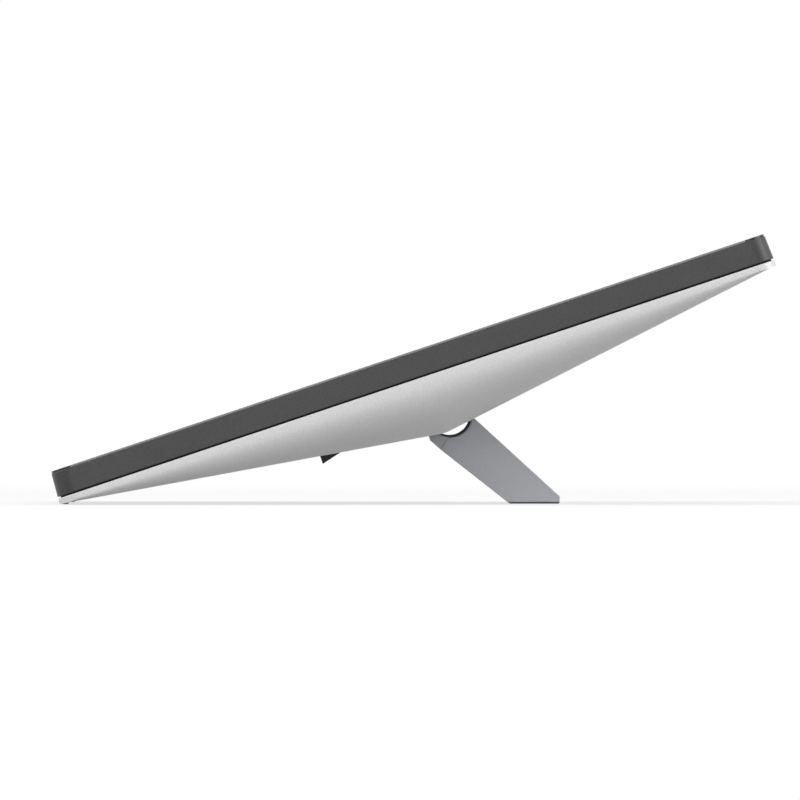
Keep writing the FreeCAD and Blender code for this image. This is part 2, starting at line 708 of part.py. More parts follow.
board_low = plate_back + STANDOFF_HEIGHT
electronics_back = board_low + D.board_thickness
keep("main_board", plate_piece("main_board", MAIN_BOARD, board_low, D.board_thickness))
(board_left, board_bottom), (board_right, board_top) = MAIN_BOARD
keep("board_standoffs", group("standoff_group", [
    rod_z(f"standoff_{row}_{column}", STANDOFF_RADIUS, x, y, plate_back, board_low)
    for column, x in enumerate((board_left + STANDOFF_INSET, board_right - STANDOFF_INSET))
    for row, y in enumerate((board_bottom + 4.0, board_top - 4.0))]))
chip_back = electronics_back + CHIP_HEIGHT
spreader_back = chip_back + SPREADER_HEIGHT
keep("processor", plate_piece("processor", square(CHIP_MIDDLE, CHIP_HALF), electronics_back, CHIP_HEIGHT))
keep("heat_spreader", plate_piece("heat_spreader", square(CHIP_MIDDLE, SPREADER_HALF), chip_back,
                                  SPREADER_HEIGHT))
keep("memory_modules", group("memory_group", [
    plate_piece(f"memory{index}", place, electronics_back, CARD_HEIGHT)
    for index, place in enumerate(MEMORY_PLACES)]))
keep("wifi_card", plate_piece("wifi_card", WIFI_CARD, electronics_back, CARD_HEIGHT))
keep("storage_drive", plate_piece("storage_drive", STORAGE_DRIVE, plate_back, DRIVE_HEIGHT))
for side, sign in SIDES:
    middle = sign * SLOT_X
    place = ((middle - SPEAKER_HALF[0], SPEAKER_MIDDLE - SPEAKER_HALF[1]),
             (middle + SPEAKER_HALF[0], SPEAKER_MIDDLE + SPEAKER_HALF[1]))
    keep(f"speaker_{side}", plate_piece(f"speaker_{side}", place, plate_back, SPEAKER_HEIGHT))
keep("display_cable", plate_piece("display_cable", DISPLAY_CABLE, plate_back, CABLE_HEIGHT))

# ---- Fan, heat sink and heat pipe -----------------------------------------------------------------------
FAN_Y = 214.0
FAN_FLOOR = 1.0
FAN_ROOM = 9.0
ROTOR_CLEARANCE = 1.5
CASE_MARGIN = 4.0
EYE_MARGIN = 6.0
MOUTH_HALF = 22.0
SPINDLE_RADIUS = 1.5
HUB_RADIUS = 10.0
BLADE_START = 9.0
BLADE_THICKNESS = 0.9
BLADE_LEAN = 12.0
BLADES = 18
SINK_HALF = 24.0
SINK_LENGTH = 14.0
FINS = 16
FIN_THICKNESS = 0.7
FIN_PITCH = 3.15
FIN_BACK = 8.5
PIPE_HEIGHT = 2.4
PIPE_WIDTH = 6.0
PIPE_HEAD_WIDTH = 5.0

fan_x = -SLOT_X
fan_low = plate_back + FAN_FLOOR
fan_high = fan_low + FAN_ROOM
fan_half = D.rotor_radius + CASE_MARGIN
fan_case = block("fan_case", (fan_x - fan_half, FAN_Y - fan_half, plate_back),
                 (fan_x + fan_half, FAN_Y + fan_half, fan_high))
fan_room = rod_z("fan_room", D.rotor_radius + ROTOR_CLEARANCE, fan_x, FAN_Y, fan_low, fan_high - FAN_FLOOR)
fan_eye = rod_z("fan_eye", D.rotor_radius - EYE_MARGIN, fan_x, FAN_Y, fan_low, fan_high + BEYOND)
fan_mouth = block("fan_mouth", (fan_x - MOUTH_HALF, FAN_Y, fan_low + FAN_FLOOR / 2),
                  (fan_x + MOUTH_HALF, FAN_Y + fan_half + BEYOND, fan_high - FAN_FLOOR))
fan_spindle = rod_z("fan_spindle", SPINDLE_RADIUS, fan_x, FAN_Y, plate_back, fan_high - ROTOR_CLEARANCE)
fan_hollow = joined("fan_hollow", [fan_room, fan_eye, fan_mouth])
keep("fan_housing", joined("fan_housing_fuse", [cut("fan_shell", fan_case, fan_hollow), fan_spindle]))
rotor_low = fan_low + 0.6
rotor_high = fan_high - 1.7
blades = []
for index in range(BLADES):
    turn = index * 360 / BLADES
    blade = doc.addObject("Part::Box", f"rotor_blade{index}")
    bind(blade, Length=D.rotor_radius - BLADE_START, Width=BLADE_THICKNESS, Height=rotor_high - rotor_low)
    outward = Rotation(Vector(0, 0, 1), turn).multVec(Vector(BLADE_START, 0, 0))
    blade.Placement = Placement(Vector(fan_x, FAN_Y, -rotor_high.number) + outward,
                                Rotation(Vector(0, 0, 1), turn + BLADE_LEAN))
    blades.append(blade)
hub = rod_z("rotor_hub", HUB_RADIUS, fan_x, FAN_Y, rotor_low, rotor_high)
rotor_bore = rod_z("rotor_bore", SPINDLE_RADIUS + RUNNING_GAP, fan_x, FAN_Y, fan_low, fan_high)
keep("fan_rotor", cut("fan_rotor_cut", joined("rotor_solid", [hub, *blades]), rotor_bore))

sink_low = FAN_Y + fan_half
sink_high = sink_low + SINK_LENGTH
fin_front = plate_back + 1.8
sink_plate = block("sink_plate", (fan_x - SINK_HALF, sink_low, plate_back + 0.6),
                   (fan_x + SINK_HALF, sink_high, fin_front))
fins = [block(f"fin{index}", (fan_x - SINK_HALF + index * FIN_PITCH, sink_low, fin_front),
              (fan_x - SINK_HALF + FIN_THICKNESS + index * FIN_PITCH, sink_high, plate_back + FIN_BACK))
        for index in range(FINS)]
keep("heat_sink", joined("heat_sink_fuse", [sink_plate, *fins]))
pipe_right = CHIP_MIDDLE[0] + SPREADER_HALF
pipe_left = fan_x + 8.0
pipe_back = spreader_back + PIPE_HEIGHT
pipe_high = sink_high + PIPE_HEAD_WIDTH
pipe_middle = CHIP_MIDDLE[1]
keep("heat_pipe", joined("heat_pipe_fuse", [
    block("pipe_run", (pipe_right - PIPE_WIDTH, pipe_middle, spreader_back),
          (pipe_right, pipe_high, pipe_back)),
    block("pipe_head", (pipe_left, sink_high, plate_back + FAN_FLOOR),
          (pipe_right, pipe_high, pipe_back)),
    block("pipe_base", (pipe_left, pipe_middle - PIPE_WIDTH / 2, spreader_back),
          (pipe_right, pipe_middle + PIPE_WIDTH / 2, pipe_back))]))

# ---- Controls on the left edge ---------------------------------------------------------------------
KEYS = [("power_button", 292.0), ("volume_up_key", 262.0), ("volume_down_key", 242.0)]
KEY_GAP = 0.15
FLANGE_HALF = 4.0
FLANGE_THICKNESS = 1.2
ROOM_MARGIN = 5.0
SWITCH_GAP = 1.6
SWITCH_THICKNESS = 1.0
KEY_ROOM_REACH = 12.0

key_depth = (mask_back + D.band_depth) / 2 + 0.6
half_length = D.key_length / 2
half_height = D.key_height / 2
key_back_x = D.frame_wall + D.front_inset - half
key_room_x = key_back_x + 1
key_cutters = []
for name, at_y in KEYS:
    key_cutters.append(block(f"{name}_slot", (-half - BEYOND, at_y - half_length - KEY_GAP,
                                             key_depth - half_height - KEY_GAP),
                             (key_room_x, at_y + half_length + KEY_GAP,
                              key_depth + half_height + KEY_GAP)))
    cap = block(f"{name}_cap", (KEY_GAP - half, at_y - half_length, key_depth - half_height),
                (key_back_x, at_y + half_length, key_depth + half_height))
    flange = block(f"{name}_flange", (key_back_x, at_y - FLANGE_HALF, key_depth - FLANGE_THICKNESS),
                   (key_back_x + FLANGE_THICKNESS, at_y + FLANGE_HALF, key_depth + FLANGE_THICKNESS))
    keep(name, joined(f"{name}_fuse", [cap, flange]))
room_low = KEYS[2][1] - half_length - ROOM_MARGIN
room_high = KEYS[0][1] + half_length + ROOM_MARGIN
key_cutters.append(block("key_room", (key_room_x, room_low, key_depth - 3.4),
                         (KEY_ROOM_REACH - half, room_high, plate_front)))
switch_x = key_room_x + SWITCH_GAP
keep("switch_board", block("switch_board", (switch_x, room_low + 2, key_depth - 3.0),
                           (switch_x + SWITCH_THICKNESS, room_high - 2, key_depth + 2.6)))
key_tools = joined("key_tools", [*key_cutters, webcam_well])
keep("front_frame", cut("front_frame_cut", frame, key_tools))

# ---- Hinge -----------------------------------------------------------------------------------------
CHEEK_ROOM = 0.4
WASHER_THICKNESS = 0.35
WASHER_MARGIN = 0.2
BRACKET_BASE = 2.0
BRACKET_HALF = 9.0
PIN_PROUD = 1.0

axis_y = D.hinge_position
axis_z = -D.hinge_depth
arm_half = D.arm_width / 2
cheek_base = D.bay_floor_depth + BRACKET_BASE
bracket_reach = arm_half + CHEEK_ROOM + D.cheek_thickness
washers = []
for side, sign in SIDES:
    middle = D.arm_spread * sign
    cheeks = []
    bores = []
    for place, face, ring_low in (
            ("inner", -bracket_reach, -arm_half - WASHER_THICKNESS - RUNNING_GAP),
            ("outer", arm_half + CHEEK_ROOM, arm_half + RUNNING_GAP)):
        tag = f"{side}_{place}"
        low = middle + face
        high = low + D.cheek_thickness
        cheeks.append(block(f"cheek_{tag}", (low, axis_y - D.cheek_radius, D.bay_floor_depth),
                            (high, axis_y + D.cheek_radius, D.hinge_depth)))
        cheeks.append(rod_x(f"cheek_end_{tag}", D.cheek_radius, low, high, axis_y, axis_z))
        bores.append(rod_x(f"cheek_bore_{tag}", D.pin_radius, low - BEYOND, high + BEYOND, axis_y, axis_z))
        ring_start = middle + ring_low
        ring = rod_x(f"ring_{tag}", D.cheek_radius - WASHER_MARGIN, ring_start,
                     ring_start + WASHER_THICKNESS, axis_y, axis_z)
        hole = rod_x(f"ring_hole_{tag}", D.pin_radius, ring_start - BEYOND, ring_start + BEYOND, axis_y,
                     axis_z)
        washers.append(cut(f"washer_{tag}", ring, hole))
    base = block(f"bracket_base_{side}", (middle - bracket_reach, axis_y - BRACKET_HALF, D.bay_floor_depth),
                 (middle + bracket_reach, axis_y + BRACKET_HALF, cheek_base))
    solid = joined(f"bracket_solid_{side}", [base, *cheeks])
    keep(f"hinge_bracket_{side}", cut(f"bracket_{side}", solid, joined(f"bores_{side}", bores)))
    keep(f"hinge_pin_{side}", rod_x(f"hinge_pin_{side}", D.pin_radius, middle - bracket_reach - PIN_PROUD,
                                    middle + bracket_reach + PIN_PROUD, axis_y, axis_z))
keep("friction_washers", group("washer_group", washers))

# ---- Leg, in the leg frame: places are (Y, Z) from the hinge axis ----------------------------------------
HORN_ANGLE = 62.9
HORN_OFFSET = 6.2
HOLLOW_TOP = -20.0
HOLLOW_SIDE = 5.0
LINER_START = -118.0
LINER_SWEEP = 102.0
FOOT_BEVEL = (0.2, 0.4)

floor_z = -hinge_height
foot_top = floor_z + D.foot_thickness
horn_normal = Size(HORN_ANGLE)


def on_lower_face(z, less=0.0):
    """Y of the leg's lower face, or of a line inside it, at a height."""
    return -(D.leg_lower_offset - less + cos(D.leg_lower_angle) * z) / sin(D.leg_lower_angle)


def on_upper_face(z, less=0.0):
    """Y of the leg's upper face, or of a line inside it, at a height."""
    return (D.leg_upper_offset - less - cos(D.leg_upper_angle) * z) / sin(D.leg_upper_angle)


def upper_face_at(y, less=0.0):
    """Z of the leg's upper face, or of a line inside it, at a distance from the axis."""
    return (D.leg_upper_offset - less - sin(D.leg_upper_angle) * y) / cos(D.leg_upper_angle)


def at_horn(less):
    """The corner between the upper face, less a thickness, and the cut at the top of the leg."""
    face = D.leg_upper_offset - less
    spread = sin(D.leg_upper_angle) * sin(horn_normal) + cos(D.leg_upper_angle) * cos(horn_normal)
    across = (face * sin(horn_normal) + cos(D.leg_upper_angle) * HORN_OFFSET) / spread
    up = (face * cos(horn_normal) - sin(D.leg_upper_angle) * HORN_OFFSET) / spread
    return across, up


seam_low = (Size(-4.48), Size(-15.8))
seam_high = (Size(0.55), Size(-7.75))
ear_section = [(-9.75, -9.7), (-9.15, -11.75), seam_low, seam_high]
arm_section = [(-4.9, 0.9), (-9.05, -10.3), (-6.6, -10.9), (-4.95, -8.7), (2.0, -4.6)]
arc = rod_x("arc_cutter", D.arc_radius, -D.leg_width, D.leg_width)
ear_cut = cut("ear_cut", section_bar("hinge_ear", ear_section, D.leg_width), arc)
arms = []
arm_bores = []
for side, sign in SIDES:
    middle = D.arm_spread * sign
    arms.append(section_bar(f"arm_{side}", arm_section, D.arm_width, middle))
    arms.append(rod_x(f"arm_eye_{side}", D.eye_radius, middle - arm_half, middle + arm_half))
    arm_bores.append(rod_x(f"arm_bore_{side}", D.pin_radius + RUNNING_GAP, middle - arm_half - BEYOND,
                           middle + arm_half + BEYOND))
rail_solid = joined("rail_solid", [ear_cut, *arms])
keep("hinge_rail", cut("hinge_rail_cut", rail_solid, joined("arm_bore_set", arm_bores)), LEG)

skin_line = upper_face_at(D.leg_tip, D.skin_thickness)
core_section = [
    seam_high,
    seam_low,
    (on_lower_face(foot_top), foot_top),
    (D.leg_tip, foot_top),
    (D.leg_tip, skin_line),
    at_horn(D.skin_thickness),
    (2.82, -5.52),
]
hollow_foot = foot_top + D.leg_wall
hollow_section = [
    (on_lower_face(HOLLOW_TOP, D.leg_wall), HOLLOW_TOP),
    (on_lower_face(hollow_foot, D.leg_wall), hollow_foot),
    (on_upper_face(hollow_foot, D.skin_thickness), hollow_foot),
    (on_upper_face(HOLLOW_TOP, D.skin_thickness), HOLLOW_TOP),
]
core = section_bar("leg_core_bar", core_section, D.leg_width)
core_hollow = section_bar("leg_hollow", hollow_section, D.leg_width - HOLLOW_SIDE * 2)
keep("leg_core", cut("leg_core_cut", core, joined("leg_hollows", [core_hollow, arc])), LEG)
skin_section = [
    at_horn(D.skin_thickness),
    (D.leg_tip, skin_line),
    (D.leg_tip, upper_face_at(D.leg_tip)),
    at_horn(as_size(0)),
]
keep("leg_skin", cut("leg_skin_cut", section_bar("leg_skin_bar", skin_section, D.leg_width), arc), LEG)
foot_section = [
    (on_lower_face(foot_top), foot_top),
    (on_lower_face(floor_z, FOOT_BEVEL[0]), floor_z),
    (D.leg_tip - FOOT_BEVEL[1], floor_z),
    (D.leg_tip, foot_top),
]
keep("leg_foot", section_bar("leg_foot", foot_section, D.leg_width), LEG)
liner_outer = rod_x("liner_outer", D.arc_radius, -D.leg_width / 2, D.leg_width / 2, sweep=LINER_SWEEP,
                    start=LINER_START)
liner_inner = rod_x("liner_inner", D.arc_radius - D.liner_thickness, -D.leg_width, D.leg_width)
keep("arc_liner", cut("arc_liner_cut", liner_outer, liner_inner), LEG)

# ---- Feet and rest pads ------------------------------------------------------------------------------
PAD_HALF = 8.0
PAD_X = 60.0
PAD_FROM_END = 16.0
PAD_HEIGHT = 0.8
EDGE_FOOT_X = 150.0
EDGE_FOOT_WIDTH = 60.0
EDGE_FOOT_RUN = (0.4, 2.6)


def floor_depth(y):
    """The depth at which a line square to the screen meets the floor."""
    return (screen_lift + y * sin(D.recline)) / cos(D.recline)


pad_low = bay_high - PAD_FROM_END
keep("leg_rest_pads", group("rest_pad_group", [
    block(f"rest_pad_{side}", (sign * PAD_X - PAD_HALF, pad_low, D.bay_floor_depth),
          (sign * PAD_X + PAD_HALF, pad_low + PAD_HALF, D.bay_floor_depth + PAD_HEIGHT))
    for side, sign in SIDES]))
foot_low, foot_high = (Size(value) for value in EDGE_FOOT_RUN)
edge_section = [
    (foot_low, -lower_roof(foot_low)),
    (foot_low, -floor_depth(foot_low)),
    (foot_high, -floor_depth(foot_high)),
    (foot_high, -lower_roof(foot_high)),
]
keep("edge_feet", group("edge_foot_group", [
    section_bar(f"edge_foot_{side}", edge_section, EDGE_FOOT_WIDTH, sign * EDGE_FOOT_X)
    for side, sign in SIDES]))

# ---- Checks and export -------------------------------------------------------------------------------
doc.recompute()
for item in doc.Objects:
    if "Invalid" in item.State or "Error" in item.State:
        raise RuntimeError(f"{item.Name} failed: {item.State}")
os.makedirs("parts", exist_ok=True)
for name, item in pieces.items():
    shape = item.Shape
    if shape.isNull() or not shape.isValid():
        raise RuntimeError(f"{name} has no valid shape")
    shape.exportStep(f"parts/{name}.step")
    print(f"{name}: {len(shape.Solids)} solids, {shape.Volume / 1000:.2f} cm3")
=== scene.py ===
"""The looks of a reclining all-in-one computer, built round its CAD frame.

Pieces are modelled flat, in the screen's own space (X across, Y up the screen, Z towards the viewer,
with Z = 0 on the glass), and are then laid back into the row frame by their mesh.
"""

import json
import logging
import math
from collections.abc import Callable
from dataclasses import dataclass, field
from enum import Enum
from typing import ClassVar

import bmesh
import bpy
from mathutils import Matrix, Vector

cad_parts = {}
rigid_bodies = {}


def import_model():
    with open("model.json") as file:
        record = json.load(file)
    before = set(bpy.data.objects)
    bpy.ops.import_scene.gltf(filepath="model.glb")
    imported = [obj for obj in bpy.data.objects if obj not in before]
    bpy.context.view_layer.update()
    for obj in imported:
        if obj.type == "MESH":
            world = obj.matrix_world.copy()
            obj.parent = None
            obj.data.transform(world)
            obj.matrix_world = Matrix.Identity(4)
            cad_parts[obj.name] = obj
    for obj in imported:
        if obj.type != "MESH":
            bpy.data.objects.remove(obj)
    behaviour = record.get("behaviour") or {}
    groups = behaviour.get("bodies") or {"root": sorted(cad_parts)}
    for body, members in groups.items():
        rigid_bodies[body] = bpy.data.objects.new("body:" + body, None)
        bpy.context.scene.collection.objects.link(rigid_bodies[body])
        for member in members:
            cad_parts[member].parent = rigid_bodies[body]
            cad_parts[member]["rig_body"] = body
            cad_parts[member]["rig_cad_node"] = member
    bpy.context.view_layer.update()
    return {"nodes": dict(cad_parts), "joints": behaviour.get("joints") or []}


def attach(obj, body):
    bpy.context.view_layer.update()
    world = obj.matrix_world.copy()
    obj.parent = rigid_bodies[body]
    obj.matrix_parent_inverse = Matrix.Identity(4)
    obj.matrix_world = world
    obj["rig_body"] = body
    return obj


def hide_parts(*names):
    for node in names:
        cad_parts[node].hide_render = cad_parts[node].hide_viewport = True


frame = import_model()

log = logging.getLogger("all_in_one")
MM = 0.001
SCREEN_BODY = "screen_unit"
LEG_BODY = "leg"
LEVEL = 1e-6
LONG_EDGE = 1.0 * MM
MERGE_REACH = 0.002 * MM
FLAT_ANGLE = 0.5
SLOT_STEPS = 4
Point = tuple[float, float, float]
EdgeTest = Callable[[Vector, Vector], bool]


# ---- Space ---------------------------------------------------------------------------------------
def joint(name: str) -> dict:
    """Find a joint of the frame by name.

    Args:
        name: the joint's name.

    Returns:
        The joint's entry in the record.
    """
    return next(entry for entry in frame["joints"] if entry["name"] == name)


@dataclass(frozen=True)
class ScreenSpace:
    """The space in which the glass is flat, laid back by the recline in the row frame."""

    hinge_position: float = 182.7 * MM
    hinge_depth: float = 33.5 * MM

    def to_row(self) -> Matrix:
        """Work out the way from screen space to the row frame.

        Returns:
            The matrix that turns and moves a flat piece to its place.
        """
        normal = Vector(joint("fan_spin")["axis"]).normalized()
        across = Vector((1.0, 0.0, 0.0))
        up = normal.cross(across)
        pivot = Vector(joint("leg_hinge")["pos_m"])
        origin = pivot - up * self.hinge_position + normal * self.hinge_depth
        turn = Matrix((across, up, normal)).transposed().to_4x4()
        return Matrix.Translation(origin) @ turn


SPACE = ScreenSpace().to_row()


# ---- Finishes ------------------------------------------------------------------------------------
class Grain(Enum):
    """How a finish varies over its surface."""

    SPECKLE = "speckle"
    BRUSHED = "brushed"
    MOULDED = "moulded"
    TRACES = "traces"
    CELLS = "cells"


@dataclass(frozen=True)
class Finish:
    """A procedural surface: a colour, its gloss, and the grain that breaks both up."""

    name: str
    colour: tuple[float, float, float]
    roughness: float = 0.5
    metallic: float = 0.0
    grain: Grain = Grain.MOULDED
    grain_size: float = 0.5 * MM
    contrast: float = 0.06
    relief: float = 0.02 * MM
    gloss_spread: float = 0.06
    coat: float = 0.0
    coat_roughness: float = 0.1
    specular: float = 0.5
    accent: tuple[float, float, float] | None = None
    brush_stretch: ClassVar[float] = 0.02
    grain_detail: ClassVar[float] = 3.0
    grain_roughness: ClassVar[float] = 0.65
    ramp_ends: ClassVar[tuple[float, float]] = (0.32, 0.68)
    patch_scale: ClassVar[float] = 18.0
    patch_detail: ClassVar[float] = 2.0
    patch_share: ClassVar[float] = 0.4
    smudge_scale: ClassVar[float] = 55.0
    smudge_detail: ClassVar[float] = 4.0
    least_roughness: ClassVar[float] = 0.02

    def make(self) -> bpy.types.Material:
        """Build the finish as a node material.

        Returns:
            The material, new each time it is called.
        """
        material = bpy.data.materials.new(self.name)
        material.use_nodes = True
        nodes = material.node_tree.nodes
        shader = nodes["Principled BSDF"]
        shader.inputs["Metallic"].default_value = self.metallic
        shader.inputs["Coat Weight"].default_value = self.coat
        shader.inputs["Coat Roughness"].default_value = self.coat_roughness
        shader.inputs["Specular IOR Level"].default_value = self.specular
        place = nodes.new("ShaderNodeTexCoord").outputs["Object"]
        fine = self._grain(material, place)
        self._colour(material, fine, place, shader)
        self._gloss(material, place, shader)
        self._relief(material, fine, shader)
        return material

    def _grain(self, material: bpy.types.Material, place: bpy.types.NodeSocket) -> bpy.types.NodeSocket:
        """Add the fine pattern.

        Args:
            material: the material being built.
            place: the coordinates that the pattern follows.

        Returns:
            A value from 0 to 1 over the surface.
        """
        nodes = material.node_tree.nodes
        links = material.node_tree.links
        mapping = nodes.new("ShaderNodeMapping")
        scale = 1.0 / self.grain_size
        along = self.brush_stretch if self.grain is Grain.BRUSHED else 1.0
        mapping.inputs["Scale"].default_value = (scale * along, scale, scale)
        links.new(place, mapping.inputs["Vector"])
        if self.grain in (Grain.TRACES, Grain.CELLS):
            cells = nodes.new("ShaderNodeTexVoronoi")
            cells.feature = "F1"
            cells.distance = "EUCLIDEAN" if self.grain is Grain.CELLS else "MANHATTAN"
            cells.inputs["Scale"].default_value = 1.0
            links.new(mapping.outputs["Vector"], cells.inputs["Vector"])
            return cells.outputs["Distance"]
        noise = nodes.new("ShaderNodeTexNoise")
        noise.inputs["Scale"].default_value = 1.0
        noise.inputs["Detail"].default_value = self.grain_detail
        noise.inputs["Roughness"].default_value = self.grain_roughness
        links.new(mapping.outputs["Vector"], noise.inputs["Vector"])
        return noise.outputs["Fac"]

    def _colour(self, material: bpy.types.Material, fine: bpy.types.NodeSocket,
                place: bpy.types.NodeSocket, shader: bpy.types.Node) -> None:
        """Vary the colour with the grain and, faintly, over broad patches.

        Args:
            material: the material being built.
            fine: the grain's value.
            place: the coordinates of the broad patches.
            shader: the shader that takes the colour.
        """
        nodes = material.node_tree.nodes
        links = material.node_tree.links
        low = tuple(part * (1.0 - self.contrast) for part in self.colour)
        high = self.accent or tuple(min(part * (1.0 + self.contrast), 1.0) for part in self.colour)
        ramp = nodes.new("ShaderNodeValToRGB")
        for index, tone in enumerate((low, high)):
            ramp.color_ramp.elements[index].position = self.ramp_ends[index]
            ramp.color_ramp.elements[index].color = (*tone, 1.0)
        links.new(fine, ramp.inputs["Fac"])
        patches = nodes.new("ShaderNodeTexNoise")
        patches.inputs["Scale"].default_value = self.patch_scale
        patches.inputs["Detail"].default_value = self.patch_detail
        links.new(place, patches.inputs["Vector"])
        spread = nodes.new("ShaderNodeMapRange")
        spread.inputs["To Min"].default_value = 1.0 - self.contrast * self.patch_share
        spread.inputs["To Max"].default_value = 1.0 + self.contrast * self.patch_share
        links.new(patches.outputs["Fac"], spread.inputs["Value"])
        blend = nodes.new("ShaderNodeVectorMath")
        blend.operation = "SCALE"
        links.new(ramp.outputs["Color"], blend.inputs["Vector"])
        links.new(spread.outputs["Result"], blend.inputs["Scale"])
        links.new(blend.outputs["Vector"], shader.inputs["Base Color"])

    def _gloss(self, material: bpy.types.Material, place: bpy.types.NodeSocket,
               shader: bpy.types.Node) -> None:
        """Vary the roughness, as light handling does.

        Args:
            material: the material being built.
            place: the coordinates that the smudges follow.
            shader: the shader that takes the roughness.
        """
        nodes = material.node_tree.nodes
        links = material.node_tree.links
        smudge = nodes.new("ShaderNodeTexNoise")
        smudge.inputs["Scale"].default_value = self.smudge_scale
        smudge.inputs["Detail"].default_value = self.smudge_detail
        links.new(place, smudge.inputs["Vector"])
        spread = nodes.new("ShaderNodeMapRange")
        glossiest = max(self.roughness - self.gloss_spread, self.least_roughness)
        spread.inputs["To Min"].default_value = glossiest
        spread.inputs["To Max"].default_value = min(self.roughness + self.gloss_spread, 1.0)
        links.new(smudge.outputs["Fac"], spread.inputs["Value"])
        links.new(spread.outputs["Result"], shader.inputs["Roughness"])

    def _relief(self, material: bpy.types.Material, fine: bpy.types.NodeSocket,
                shader: bpy.types.Node) -> None:
        """Raise the grain as bump.

        Args:
            material: the material being built.
            fine: the grain's value.
            shader: the shader that takes the normal.
        """
        nodes = material.node_tree.nodes
        bump = nodes.new("ShaderNodeBump")
        bump.inputs["Strength"].default_value = 1.0
        bump.inputs["Distance"].default_value = self.relief
        material.node_tree.links.new(fine, bump.inputs["Height"])
        material.node_tree.links.new(bump.outputs["Normal"], shader.inputs["Normal"])


@dataclass(frozen=True)
class GlassFinish:
    """Clear, faintly grey cover glass."""

    name: str = "cover_glass_finish"
    tint: tuple[float, float, float] = (0.90, 0.915, 0.92)
    ior: float = 1.34
    most_smear: float = 0.012
    smear_scale: float = 9.0

    def make(self) -> bpy.types.Material:
        """Build the glass, with faint smears in its gloss.

        Returns:
            The material.
        """
        material = bpy.data.materials.new(self.name)
        material.use_nodes = True
        nodes = material.node_tree.nodes
        links = material.node_tree.links
        shader = nodes["Principled BSDF"]
        shader.inputs["Base Color"].default_value = (*self.tint, 1.0)
        shader.inputs["Transmission Weight"].default_value = 1.0
        shader.inputs["IOR"].default_value = self.ior
        place = nodes.new("ShaderNodeTexCoord")
        smear = nodes.new("ShaderNodeTexNoise")
        smear.inputs["Scale"].default_value = self.smear_scale
        smear.inputs["Detail"].default_value = 1.0
        links.new(place.outputs["Object"], smear.inputs["Vector"])
        spread = nodes.new("ShaderNodeMapRange")
        spread.inputs["To Min"].default_value = 0.0
        spread.inputs["To Max"].default_value = self.most_smear
        links.new(smear.outputs["Fac"], spread.inputs["Value"])
        links.new(spread.outputs["Result"], shader.inputs["Roughness"])
        return material


Look = Finish | GlassFinish

SILVER = Finish("silver_paint", (0.735, 0.735, 0.737), 0.45, 0.1, Grain.SPECKLE, 0.55 * MM, 0.10,
                0.02 * MM, 0.04, specular=0.4)
BAND = Finish("dark_band_paint", (0.036, 0.036, 0.0364), 0.42, 0.0, Grain.SPECKLE, 0.6 * MM, 0.30,
              0.05 * MM, 0.05, specular=0.4)
GLASS_EDGE = Finish("ground_glass_edge", (0.19, 0.192, 0.196), 0.35, 0.0, Grain.MOULDED, 0.3 * MM, 0.08,
                    0.004 * MM, 0.05, coat=0.3)
# Black print: the bezel mask's own print, and also laid on the glass edge's four corners as painted shade,
# where the turning edge reflects dark.
PRINT_AND_CORNER_SHADE = Finish("black_print", (0.006, 0.006, 0.007), 0.35, 0.0, Grain.MOULDED, 0.2 * MM, 0.15, 0.001 * MM)
DISPLAY = Finish("dark_display", (0.004, 0.005, 0.008), 0.2, 0.0, Grain.CELLS, 0.25 * MM, 0.2, 0.0, 0.02)
BLACK_PLASTIC = Finish("moulded_black", (0.018, 0.018, 0.019), 0.48, 0.0, Grain.MOULDED, 0.35 * MM, 0.18,
                       0.015 * MM)
# Near-black for the seal in the shadow gap: partly the seal's own black, partly painted shade, made as dark
# and dull as it goes to stand for the gap's shade.
GAP_SEAL_AND_SHADE = Finish("gap_black", (0.003, 0.003, 0.003), 0.95, 0.0, Grain.MOULDED, 0.3 * MM, 0.1, 0.004 * MM)
LEG_METAL = Finish("leg_satin_metal", (0.56, 0.575, 0.61), 0.38, 0.1, Grain.MOULDED, 0.7 * MM, 0.04,
                   0.003 * MM, 0.05)
RAIL = Finish("rail_textured_metal", (0.58, 0.585, 0.60), 0.5, 0.1, Grain.SPECKLE, 0.6 * MM, 0.25,
              0.05 * MM)
LINER = Finish("smooth_black_liner", (0.006, 0.006, 0.006), 0.4, 0.0, Grain.MOULDED, 0.3 * MM, 0.1,
               0.003 * MM)
FOOT_RUBBER = Finish("foot_rubber", (0.10, 0.10, 0.10), 0.7, 0.0, Grain.SPECKLE, 0.4 * MM, 0.15, 0.02 * MM)
PALE_RUBBER = Finish("pale_rubber", (0.5, 0.5, 0.5), 0.7, 0.0, Grain.SPECKLE, 0.4 * MM, 0.1, 0.02 * MM)
RUBBER = Finish("black_rubber", (0.022, 0.022, 0.023), 0.75, 0.0, Grain.SPECKLE, 0.4 * MM, 0.2, 0.02 * MM)
STEEL = Finish("sheet_steel", (0.50, 0.51, 0.52), 0.34, 1.0, Grain.BRUSHED, 0.35 * MM, 0.08, 0.003 * MM)
PLATED = Finish("plated_steel", (0.58, 0.58, 0.57), 0.25, 1.0, Grain.BRUSHED, 0.3 * MM, 0.06, 0.002 * MM)
SCREW = Finish("turned_steel", (0.30, 0.30, 0.31), 0.32, 1.0, Grain.BRUSHED, 0.2 * MM, 0.1, 0.004 * MM)
COPPER = Finish("drawn_copper", (0.72, 0.36, 0.22), 0.3, 1.0, Grain.BRUSHED, 0.4 * MM, 0.1, 0.003 * MM)
FINS = Finish("fin_aluminium", (0.70, 0.71, 0.72), 0.3, 1.0, Grain.BRUSHED, 0.4 * MM, 0.06, 0.002 * MM)
BRASS = Finish("turned_brass", (0.66, 0.48, 0.2), 0.28, 1.0, Grain.BRUSHED, 0.2 * MM, 0.08, 0.002 * MM)
